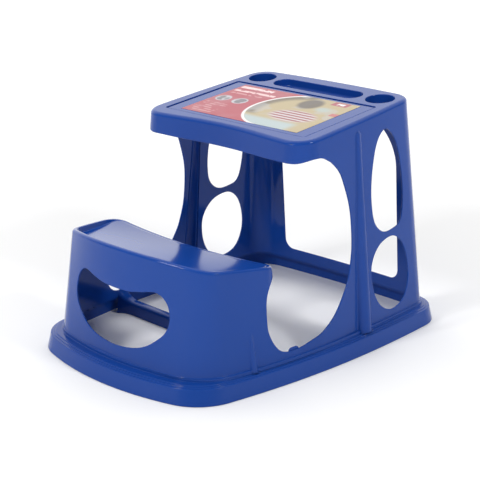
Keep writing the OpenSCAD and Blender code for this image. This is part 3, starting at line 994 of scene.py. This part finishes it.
def make_seat():
    half = np.concatenate([np.linspace(0, CORNER_U - 14, 104, endpoint=False),
                           np.linspace(CORNER_U - 14, CORNER_U + CORNER_L, 30, endpoint=False),
                           np.linspace(CORNER_U + CORNER_L, SEAT_MID_U, 44)])
    u = np.concatenate([half, -half[-2:0:-1]])
    top = rim_top(u)
    edge, edge_n = seat_wall(np.column_stack([u, top - LIP_R]))
    out = unit(edge_n[:, :2])
    out[len(half) - 1] = (0, 1)
    rows = []
    for a in np.linspace(0, math.pi/2, 9):
        d = LIP_R*(1 - math.cos(a))
        rows.append(np.column_stack([edge[:, :2] - d*out, top - LIP_R*(1 - math.sin(a))]))
    fall = LIP_R + LIP_FLAT - 1.0
    slope = fall + LIP_FALL*np.linspace(0, 1, 13)
    for d in np.concatenate([[LIP_R + 1, LIP_R + 2], slope, [slope[-1] + 2]]):
        xy = edge[:, :2] - d*out
        level = seat_z(np.abs(xy[:, 0]), xy[:, 1])
        rows.append(np.column_stack([xy, level + (top - level)*(1 - smooth((d - fall)/LIP_FALL))]))
    rows = np.array(rows)
    normals = grid_normals(rows, True)
    if normals[9][0][2] < 0:
        normals = -normals
    normals[0] = edge_n
    b = Builder()
    io = b.grid(rows, normals, wrap=True)
    under = rows - WALL*normals
    ii = b.grid(under, -normals, wrap=True)
    b.strip(io[0], ii[0], wrap=True)
    flat, faces = triangulate([rows[-1][:, :2]], 11.0)
    z = seat_z(flat[:, 0], flat[:, 1])
    n = len(u)
    e = 0.5
    sx = (seat_z(flat[:, 0] + e, flat[:, 1]) - seat_z(flat[:, 0] - e, flat[:, 1]))/(2*e)
    sy = (seat_z(flat[:, 0], flat[:, 1] + e) - seat_z(flat[:, 0], flat[:, 1] - e))/(2*e)
    normal = unit(np.column_stack([-sx, -sy, np.ones(len(sx))]))
    normal[:n] = normals[-1]
    z[:n] = rows[-1][:, 2]
    sheet = np.column_stack([flat, z])
    below = sheet - WALL*normal
    below[:n] = under[-1]
    b.sheet(sheet, below, faces, normal)
    b.make("seat_panel", "seat_top")


def flange(name, node, start, out, down, depth):
    """A skirt that hangs from an edge: start points, outward directions, downward directions, depths."""
    b = Builder()
    fall = [start + down*((depth - RIM_R)*f)[:, None] for f in np.linspace(0, 1, 6)]
    rim, rim_n = rim_rows(fall[-1], fall[-1] - WALL*out, out, down)
    rows = fall + rim + [row - WALL*out for row in fall[::-1]]
    normals = [out]*len(fall) + rim_n + [-out]*len(fall)
    ids = b.grid(np.array(rows), np.array(normals))
    b.strip(ids[0], ids[-1])
    for c in (0, -1):
        b.face(ids[:, c])
    b.make(name, node)


# ---------------------------------------------------------------- desk top
def deck_path():
    """Closed path round the deck at its edge: points, outward wall normals, downward directions, and
    1 along the stretch that the apron covers."""
    side_y = DECK_NOSE + DECK_CORNER
    u_side = side_u(side_y, deck_z(side_y))[0]
    u_arch = side_u(ARCH_Y, deck_z(ARCH_Y))[0]
    u = np.concatenate([np.linspace(u_side, u_arch, 16, endpoint=False),
                        np.linspace(u_arch, KNOTS[4], 60, endpoint=False),
                        np.linspace(KNOTS[4], KNOTS[5], 22, endpoint=False),
                        np.linspace(KNOTS[5], REAR_U, 24)])
    z = deck_line(u) + DECK_R
    p, n = wall(np.column_stack([u, z]))
    down = unit(wall_points(u, z - 1) - p)
    walls = np.column_stack([p, n, down, (u < u_arch + 0.1).astype(float)])
    centre = walls[0, :2] - DECK_CORNER*unit(walls[0, 3:5])
    a0 = math.atan2(walls[0, 4], walls[0, 3])
    a = np.linspace(a0, -math.pi/2 - 0.07, 20)[1:]
    flat = np.stack([np.cos(a), np.sin(a)], -1)
    corner = centre + DECK_CORNER*flat
    x = np.linspace(corner[-1, 0], 0, 40)[1:]
    ease = (x/corner[-1, 0])**2
    front = np.column_stack([x, DECK_FRONT + (corner[-1, 1] - DECK_FRONT)*ease*(1.6 - 0.6*ease)])
    d = np.gradient(np.vstack([corner[-1:], front]), axis=0)[1:]
    front_out = unit(np.column_stack([d[:, 1], -d[:, 0]]))
    front_out *= -np.sign(front_out[:, 1:2])
    xy = np.vstack([corner, front])
    out2 = np.vstack([flat, front_out])
    out = unit(np.column_stack([out2, np.full(len(out2), DRAFT)]))
    down = unit(np.column_stack([out2*DRAFT, -np.ones(len(out2))]))
    apron = np.column_stack([xy, deck_z(xy[:, 1]), out, down, np.ones(len(xy))])
    half_path = np.vstack([apron[::-1], walls])
    flip = half_path[-2:0:-1]*np.array([-1, 1, 1, -1, 1, 1, -1, 1, 1, 1])
    return np.vstack([half_path, flip])


def local_deck(p):
    """Deck coordinates (across, up the slope) of points in its plane."""
    return np.column_stack([p[:, 0], (p[:, 1] - DECK_Y)/math.cos(DECK_TILT)])


def refill(loop, step=5.0):
    """The closed loop with points added along its long stretches."""
    out = []
    for a, b in zip(loop, np.roll(loop, -1, 0)):
        out.append(np.linspace(a, b, max(int(math.dist(a, b)/step), 1), endpoint=False))
    return np.concatenate(out)


def rounded_box(x0, y0, x1, y1, r):
    return refill(np.vstack([
        arc2((x1 - r, y1 - r), r, 0, 90, 8), arc2((x0 + r, y1 - r), r, 90, 180, 8),
        arc2((x0 + r, y0 + r), r, 180, 270, 8), arc2((x1 - r, y0 + r), r, 270, 360, 8)]))


def stadium(cx, cy, half, r):
    return refill(np.vstack([
        arc2((cx + half - r, cy), r, -90, 90, 28), arc2((cx - half + r, cy), r, 90, 270, 28)]))


PANEL = (187.3, -261.5, -45.0)          # half width, front and rear along the slope
PANEL_DEPTH = 1.5
TRAY = (114.0, -5.5, 24.0)              # half length, middle along the slope, half width
CUP = (158.9, 29.7)                     # distance from the middle, radius
# Pockets: loop on the deck, mouth radius, depth, floor fillet, draft
POCKETS = {
    "writing_panel": (rounded_box(-PANEL[0], PANEL[1], PANEL[0], PANEL[2], 6.0), 0.5, PANEL_DEPTH, 0.8, 0.1),
    "pen_tray": (stadium(0.0, TRAY[1], TRAY[0], TRAY[2]), 1.6, 17.0, 6.0, 0.09),
    "cup_holder_right": (arc2((CUP[0], 0.0), CUP[1], 0, 360, 73)[:-1], 1.6, 31.0, 5.0, 0.05),
    "cup_holder_left": (arc2((-CUP[0], 0.0), CUP[1], 0, 360, 73)[:-1], 1.6, 31.0, 5.0, 0.05),
}


def make_pocket(name, loop, mouth, depth, floor_r, draft):
    """A recess pressed into the deck: rounded mouth, drafted wall, filleted floor, and its underside."""
    out = -left_normals(loop, True)
    thick = 2.6 if depth > WALL + 1 else WALL
    points = [(mouth + 0.01, 0), (0, 0), (-draft*depth, -depth), (-draft*depth - floor_r - 1, -depth)]
    radii = [0, mouth, floor_r, 0]
    if name == "writing_panel":         # a fine gutter runs round the recess
        points[2:] = [(-0.3, -3.4), (-3.4, -3.4), (-4.0, -depth), (-5.6, -depth)]
        radii = [0, mouth, 0.5, 0.5, 0.6, 0]
    profile, normal = rounded(points, radii, count=6)
    rows, normals, lows = [], [], []
    for (o, w), (no, nw) in zip(profile, normal):
        xy = loop + o*out
        rows.append(deck_point(xy[:, 0], xy[:, 1], w))
        tilt = np.array([[1, 0, 0], [0, math.cos(DECK_TILT), math.sin(DECK_TILT)]])
        normals.append(unit(-no*(out @ tilt) - nw*DECK_N))
        low = loop + (o + (thick if w < -0.5*mouth else thick*0.8)*min(1.0, abs(no)))*out
        lows.append(deck_point(low[:, 0], low[:, 1], w - thick*abs(nw)))
    b = Builder()
    io = b.grid(np.array(rows), np.array(normals), wrap=True)
    ii = b.grid(np.array(lows), -np.array(normals), wrap=True)
    b.strip(io[0], ii[0], wrap=True)
    floor = loop + points[-1][0]*out
    flat, faces = triangulate([floor], 18.0)
    top = deck_point(flat[:, 0], flat[:, 1], -depth)
    under = deck_point(flat[:, 0], flat[:, 1], -depth - thick)
    b.sheet(top, under, faces, np.tile(DECK_N, (len(flat), 1)))
    b.make(name + "_pocket", name)


def make_deck():
    path = deck_path()
    p, out, down = path[:, :3], path[:, 3:6], path[:, 6:9]
    inward = -(out - np.sum(out*DECK_N, 1, keepdims=True)*DECK_N)
    inward = unit(inward)
    rows, normals = [], []
    for a in np.linspace(math.pi/2, 0, 11):
        rows.append(p + DECK_IN*(1 - math.sin(a))*inward + DECK_R*(1 - math.cos(a))*down)
        normals.append(unit(math.sin(a)/DECK_IN*out + math.cos(a)/DECK_R*DECK_N))
    rows, normals = np.array(rows), np.array(normals)
    b = Builder()
    io = b.grid(rows, normals, wrap=True)
    under = rows - WALL*normals
    ii = b.grid(under, -normals, wrap=True)
    b.strip(io[0], ii[0], wrap=True)
    edge = local_deck(rows[-1])
    if np.sum(edge[:, 0]*np.roll(edge[:, 1], -1) - edge[:, 1]*np.roll(edge[:, 0], -1)) < 0:
        edge = edge[::-1]
    loops = [edge]
    for loop, mouth, *_ in POCKETS.values():
        loops.append(loop - (mouth + 0.01)*left_normals(loop, True))
    flat, faces = triangulate(loops, 16.0)
    top = deck_point(flat[:, 0], flat[:, 1], 0.0)
    low = deck_point(flat[:, 0], flat[:, 1], -WALL)
    it, iu = b.sheet(top, low, faces, np.tile(DECK_N, (len(flat), 1)))
    at = len(edge)
    for loop in loops[1:]:
        ring = np.arange(at, at + len(loop))
        b.strip(it[ring], iu[ring], wrap=True)
        at += len(loop)
    b.make("deck_panel", "desk_top")
    for name, (loop, mouth, depth, floor_r, draft) in POCKETS.items():
        make_pocket(name, loop, mouth, depth, floor_r, draft)
    make_apron(path)


# Lower edge of the apron along its sides: [y, z]
APRON_EDGE = [(-60, APRON_Z + 1), (-46, APRON_Z + 1.2), (-38, 392), (-30, 395), (-14, 398.3),
              (6, 396.3), (29, 384)]


def make_apron(path):
    """The apron hangs round the front of the deck as far as the side frames."""
    on = path[:, 9] > 0
    stop = np.argmax(~on)
    restart = len(on) - np.argmax(~on[::-1])
    order = np.concatenate([np.arange(restart, len(path)), np.arange(0, stop + 1)])
    order = np.concatenate([[restart - 1], order]) if restart - 1 not in order else order
    part = path[order]
    start = part[:, :3] + DECK_R*part[:, 6:9]
    z = np.interp(part[:, 1], *curve(APRON_EDGE, closed=False, step=2.0).T)
    across = np.abs(part[:, 0])
    z = np.where(across < 175, APRON_Z + 1.2*smooth((across - 110)/60), z)
    depth = (start[:, 2] - z)/np.abs(part[:, 8])
    flange("desk_apron_skirt", "desk_apron", start, part[:, 3:6], part[:, 6:9], depth)


# ---------------------------------------------------------------- sill behind the seat
SILL_END = 246.5                        # the sill runs into the side walls
SILL_BEND = 36.0                        # length of the finer rows at its ends
SILL_FLARE, SILL_CLIMB = 34.0, 33.0     # how far its ends sweep, along and up
SILL_SIZE = (23.0, 28.0, 7.0)           # width, height, edge radius
SILL_Y, SILL_BOW = -82.5, 5.0           # where it meets the side walls, and its bow to the front


def make_sill():
    width, height, r = SILL_SIZE
    a, c = width/2, width/2 - 0.8
    outer, outer_n = rounded([(-a, 0), (-c, height), (c, height), (a, 0)], [0, r, r, 0], count=8)
    a, c, h, r = a - WALL, c - WALL, height - WALL, r - 3
    inner, inner_n = rounded([(-a, 0), (-c, h), (c, h), (a, 0)], [0, r, r, 0], count=8)
    bend = SILL_END - SILL_BEND + np.sin(np.linspace(0, math.pi/2, 22))*SILL_BEND
    xs = np.concatenate([-bend[::-1], np.linspace(-bend[0], bend[0], 40)[1:-1], bend])
    grids = []
    for profile, normal, sign in ((outer, outer_n, 1), (inner, inner_n, -1)):
        rows, normals = [], []
        for x in xs:
            over = min(max(abs(x) - (SILL_END - SILL_FLARE), 0.0)/SILL_FLARE, 0.995)
            root = math.sqrt(1 - over*over)
            grow = 1 + SILL_CLIMB*(1 - root)/height
            wide = 1 + 0.4*over*over
            y0 = SILL_Y - SILL_BOW*(1 - (x/SILL_END)**2) - 10.0*over*over
            y, z = y0 + wide*profile[:, 0], profile[:, 1]*grow
            reach = wall_points(side_u(y, z), z)[:, 0] - 2.5
            rows.append(np.column_stack([x/SILL_END*reach, y, z]))
            slope = np.sign(x)*SILL_CLIMB/SILL_FLARE*over/max(root, 0.1)
            n = np.column_stack([-profile[:, 1]/height*slope*normal[:, 1], normal[:, 0], normal[:, 1]])
            normals.append(sign*unit(n))
        grids.append((np.array(rows), np.array(normals)))
    b = Builder()
    io = b.grid(*grids[0])
    ii = b.grid(*grids[1])
    for c in (0, -1):
        b.strip(io[:, c], ii[:, c])
    for r0 in (0, -1):
        b.strip(io[r0], ii[r0])
    b.make("seat_sill_bar", "seat_sill")


# ---------------------------------------------------------------- label
LABEL = (155.5, -246.0, -56.0)          # half width, front and rear along the slope
RED, CREAM, WHITE = (0.41, 0.026, 0.055), (0.46, 0.365, 0.19), (0.85, 0.82, 0.82)
RING = (63.0, -148.0)                   # centre of the white curve
RING_IN, RING_OUT = 98.5, 104.5         # its radii
# Pale bars: colour, box, scale and thresholds of the gaps in it, strength
BARS = (
    ((0.90, 0.66, 0.66), (-151, -77, -62, -65), (75.0, 0.34, 0.46), 1.0),
    ((0.84, 0.56, 0.56), (-150, -99, -38, -89), (85.0, 0.38, 0.52), 1.0),
    ((0.66, 0.32, 0.33), (-146, -114, -58, -107), (85.0, 0.42, 0.56), 0.7),
)


class Print:
    """Builds a printed picture from soft-edged masks. Lengths are millimetres on the label, from the middle
    of the desk across and from the cup centres up the slope."""

    def __init__(self, nodes, links):
        self.nodes, self.links = nodes, links
        place = nodes.new("ShaderNodeTexCoord")
        parts = nodes.new("ShaderNodeSeparateXYZ")
        links.new(place.outputs["Object"], parts.inputs["Vector"])
        self.place = place.outputs["Object"]
        self.x = self.math("MULTIPLY", parts.outputs["X"], 1/MM)
        along = self.math("MULTIPLY", parts.outputs["Y"], 1/MM)
        self.v = self.math("DIVIDE", self.math("SUBTRACT", along, DECK_Y), math.cos(DECK_TILT))

    def math(self, operation, *values):
        node = self.nodes.new("ShaderNodeMath")
        node.operation = operation
        for socket, value in zip(node.inputs, values):
            if isinstance(value, (int, float)):
                socket.default_value = value
            else:
                self.links.new(value, socket)
        return node.outputs[0]

    def above(self, value, edge, soft=1.5):
        """1 where value is over edge, 0 where it is under, with a soft edge."""
        node = self.nodes.new("ShaderNodeMapRange")
        node.interpolation_type = "SMOOTHSTEP"
        self.links.new(value, node.inputs["Value"])
        node.inputs["From Min"].default_value = edge - soft
        node.inputs["From Max"].default_value = edge + soft
        return node.outputs["Result"]

    def below(self, value, edge, soft=1.5):
        return self.math("SUBTRACT", 1.0, self.above(value, edge, soft))

    def both(self, *masks):
        out = masks[0]
        for mask in masks[1:]:
            out = self.math("MULTIPLY", out, mask)
        return out

    def either(self, a, b):
        return self.math("MAXIMUM", a, b)

    def box(self, x0, v0, x1, v1, soft=1.5):
        return self.both(self.above(self.x, x0, soft), self.below(self.x, x1, soft),
                         self.above(self.v, v0, soft), self.below(self.v, v1, soft))

    def distance(self, cx, cv, stretch=1.0):
        dx = self.math("DIVIDE", self.math("SUBTRACT", self.x, cx), stretch)
        dv = self.math("SUBTRACT", self.v, cv)
        squares = self.math("ADD", self.math("MULTIPLY", dx, dx), self.math("MULTIPLY", dv, dv))
        return self.math("SQRT", squares)

    def disc(self, cx, cv, radius, stretch=1.0, soft=1.5):
        return self.below(self.distance(cx, cv, stretch), radius, soft)

    def specks(self, scale, low, high, squash=1.0):
        """Patchy mask that breaks a bar up into word-like marks."""
        stretch = self.nodes.new("ShaderNodeMapping")
        stretch.inputs["Scale"].default_value = (1.0, squash, 1.0)
        self.links.new(self.place, stretch.inputs["Vector"])
        noise = self.nodes.new("ShaderNodeTexNoise")
        noise.inputs["Scale"].default_value = scale
        noise.inputs["Detail"].default_value = 1.0
        self.links.new(stretch.outputs["Vector"], noise.inputs["Vector"])
        return self.above(noise.outputs["Fac"], (low + high)/2, (high - low)/2)

    def rows(self, pitch, share, shift=0.0):
        """Stripes that run across the label."""
        turn = self.math("FRACT", self.math("DIVIDE", self.math("ADD", self.v, shift), pitch))
        return self.above(turn, 1 - share, 0.08)

    def paint(self, under, color, mask, strength=1.0):
        node = self.nodes.new("ShaderNodeMix")
        node.data_type = "RGBA"
        self.links.new(self.math("MULTIPLY", mask, strength), node.inputs["Factor"])
        if isinstance(under, tuple):
            node.inputs["A"].default_value = under + (1,)
        else:
            self.links.new(under, node.inputs["A"])
        node.inputs["B"].default_value = color + (1,)
        return node.outputs["Result"]


def label_material():
    """Satin print: a red field with pale bars, and a cream picture field behind a white curve. It stands for
    the printed sheet's layout only, with no words, marks or figures."""
    material, nodes, links, shader = new_material("printed_label")
    art = Print(nodes, links)
    ink = art.paint(RED, (0.42, 0.07, 0.10), art.specks(14.0, 0.42, 0.62))
    note = art.both(art.box(-146, -240, -84, -178, 4.0), art.rows(10.5, 0.55), art.specks(60.0, 0.40, 0.55))
    ink = art.paint(ink, (0.60, 0.30, 0.31), note, 0.7)
    for color, box, gaps, strength in BARS:
        ink = art.paint(ink, color, art.both(art.box(*box), art.specks(*gaps)), strength)
    for cx in (-129.5, -83.5):
        ink = art.paint(ink, (0.50, 0.48, 0.52), art.disc(cx, -149.5, 17.5))
        mottle = art.both(art.disc(cx, -149.5, 14.5), art.specks(70.0, 0.34, 0.56))
        ink = art.paint(ink, (0.10, 0.09, 0.11), mottle, 0.85)
    # The cream field starts at a white curve and fills everything to its right
    ring = art.distance(*RING)
    right_half = art.above(art.x, RING[0])
    ink = art.paint(ink, WHITE, art.either(art.below(ring, RING_OUT), right_half))
    picture = art.either(art.below(ring, RING_IN), right_half)
    ink = art.paint(ink, CREAM, picture)
    band = art.both(picture, art.above(ring, 79.0, 11.0), art.below(art.x, 52.0, 16.0),
                    art.above(art.v, -196.0, 8.0))
    ink = art.paint(ink, (0.10, 0.075, 0.05), band, 0.85)
    patches = art.both(picture, art.specks(26.0, 0.52, 0.62), art.above(art.v, -190.0, 9.0))
    ink = art.paint(ink, (0.46, 0.46, 0.48), patches, 0.45)
    pale = art.both(picture, art.below(art.v, -208.0, 9.0), art.below(art.x, 122.0, 12.0))
    ink = art.paint(ink, (0.42, 0.50, 0.50), pale)
    ink = art.paint(ink, (0.40, 0.48, 0.45), art.disc(106.0, -112.0, 13.0, 1.3, 7.0), 0.8)
    ink = art.paint(ink, (0.075, 0.055, 0.04), art.disc(60.0, -95.0, 29.0, 0.9, 7.0), 0.9)
    striped = art.disc(80.0, -172.0, 31.0, 1.7, 6.0)
    ink = art.paint(ink, (0.62, 0.56, 0.56), striped)
    ink = art.paint(ink, (0.30, 0.05, 0.06), art.both(striped, art.rows(11.7, 0.5, 3.0)))
    ink = art.paint(ink, (0.38, 0.06, 0.09), art.box(96.0, -79.0, 136.0, -58.0))
    ink = art.paint(ink, WHITE, art.both(art.box(108.0, -74.0, 126.0, -64.0), art.specks(90.0, 0.36, 0.5)))
    ink = art.paint(ink, (0.50, 0.12, 0.12), art.box(138.0, -136.0, 160.0, -121.0))
    links.new(ink, shader.inputs["Base Color"])
    shader.inputs["Roughness"].default_value = 0.3
    shader.inputs["Specular IOR Level"].default_value = 0.33
    return material


def make_label():
    half, v0, v1 = LABEL
    thick = 0.3
    xs, vs = np.linspace(-half, half, 40), np.linspace(v0, v1, 26)
    x, v = np.meshgrid(xs, vs)
    lift = 0.12 + 0.10*np.sin(x/37.0)*np.sin(v/29.0 + 1.0)
    top = deck_point(x, v, -PANEL_DEPTH + thick + lift)
    low = deck_point(x, v, np.full(x.shape, -PANEL_DEPTH + 0.02))
    normals = grid_normals(top, False)
    if normals[0, 0, 2] < 0:
        normals = -normals
    b = Builder()
    it, iu = b.grid(top, normals), b.grid(low, -normals)
    for a, c in ((it[0], iu[0]), (it[-1], iu[-1]), (it[:, 0], iu[:, 0]), (it[:, -1], iu[:, -1])):
        b.strip(a, c)
    b.make("label_print", "label_sheet", "printed_label")


# ---------------------------------------------------------------- stage
CAMERA_AT = (1752.8, -1806.2, 1007.2)
CAMERA_AZIMUTH, CAMERA_ELEVATION = 43.944, 17.972
CAMERA_LENS = 99.38
AMBIENT, BACKDROP = 0.40, 1.45          # strength of the surroundings, and of the bright part behind
BACKDROP_RISE = 0.47                    # how much the bright part is turned up from level
LAMP_AIM = 0.2                          # height that the lamps point at, in metres


def studio_world():
    """Soft surroundings: bright behind the desk, where the camera sees its reflection, and dim elsewhere."""
    world = bpy.data.worlds.new("studio")
    world.use_nodes = True
    nodes, links = world.node_tree.nodes, world.node_tree.links
    place = nodes.new("ShaderNodeTexCoord")
    facing = nodes.new("ShaderNodeVectorMath")
    facing.operation = "DOT_PRODUCT"
    links.new(place.outputs["Generated"], facing.inputs[0])
    angle = math.radians(CAMERA_AZIMUTH)
    facing.inputs[1].default_value = (-0.88*math.sin(angle), 0.88*math.cos(angle), BACKDROP_RISE)
    spread = nodes.new("ShaderNodeMapRange")
    spread.interpolation_type = "SMOOTHSTEP"
    spread.inputs["From Min"].default_value = 0.25
    spread.inputs["From Max"].default_value = 0.8
    spread.inputs["To Min"].default_value = AMBIENT
    spread.inputs["To Max"].default_value = BACKDROP
    links.new(facing.outputs["Value"], spread.inputs["Value"])
    links.new(spread.outputs["Result"], nodes["Background"].inputs["Strength"])
    nodes["Background"].inputs["Color"].default_value = (1, 1, 1, 1)
    bpy.context.scene.world = world


def make_stage():
    bpy.ops.mesh.primitive_plane_add(size=30, location=(0, 0, -0.0005))
    floor = bpy.context.object
    floor.name = "studio_floor"
    material, nodes, links, shader = new_material("studio_floor")
    shader.inputs["Base Color"].default_value = (0.93, 0.93, 0.93, 1)
    shader.inputs["Roughness"].default_value = 0.9
    # A backlit sweep: it stays pale far from the lamps
    place = nodes.new("ShaderNodeTexCoord")
    length = nodes.new("ShaderNodeVectorMath")
    length.operation = "LENGTH"
    links.new(place.outputs["Object"], length.inputs[0])
    glow = nodes.new("ShaderNodeMapRange")
    glow.interpolation_type = "SMOOTHSTEP"
    glow.inputs["From Min"].default_value = 0.3
    glow.inputs["From Max"].default_value = 3.2
    glow.inputs["To Max"].default_value = 0.42
    links.new(length.outputs["Value"], glow.inputs["Value"])
    shader.inputs["Emission Color"].default_value = (1, 1, 1, 1)
    links.new(glow.outputs["Result"], shader.inputs["Emission Strength"])
    floor.data.materials.append(material)
    studio_world()

    def area(name, azimuth, elevation, away, size, power):
        """A softbox at a bearing from the camera's own direction, aimed at the desk."""
        turn = math.radians(CAMERA_AZIMUTH - 90 + azimuth)
        rise = math.radians(elevation)
        at = away*Vector((math.cos(rise)*math.cos(turn), math.cos(rise)*math.sin(turn), math.sin(rise)))
        at.z += LAMP_AIM
        light = bpy.data.lights.new(name, "AREA")
        light.shape = "RECTANGLE"
        light.size, light.size_y = size
        light.energy = power
        lamp = bpy.data.objects.new(name, light)
        bpy.context.scene.collection.objects.link(lamp)
        lamp.location = at
        lamp.rotation_euler = (Vector((0, 0, LAMP_AIM)) - at).to_track_quat("-Z", "Y").to_euler()

    area("softbox_left", -50, 38, 2.6, (0.6, 0.3), 27)
    area("softbox_right", 50, 38, 2.6, (0.4, 0.3), 19)
    camera = bpy.data.cameras.new("photo_view")
    camera.lens = CAMERA_LENS
    camera.sensor_width = 36
    camera.clip_end = 50
    holder = bpy.data.objects.new("photo_view", camera)
    bpy.context.scene.collection.objects.link(holder)
    holder.location = Vector(CAMERA_AT)*MM
    holder.rotation_euler = (math.radians(90 - CAMERA_ELEVATION), 0, math.radians(CAMERA_AZIMUTH))
    bpy.context.scene.camera = holder
    bpy.context.scene.view_settings.view_transform = "Standard"


seat_front()
make_sides()
rear_frame()
make_base()
make_seat()
make_deck()
make_sill()
make_label()
make_stage()
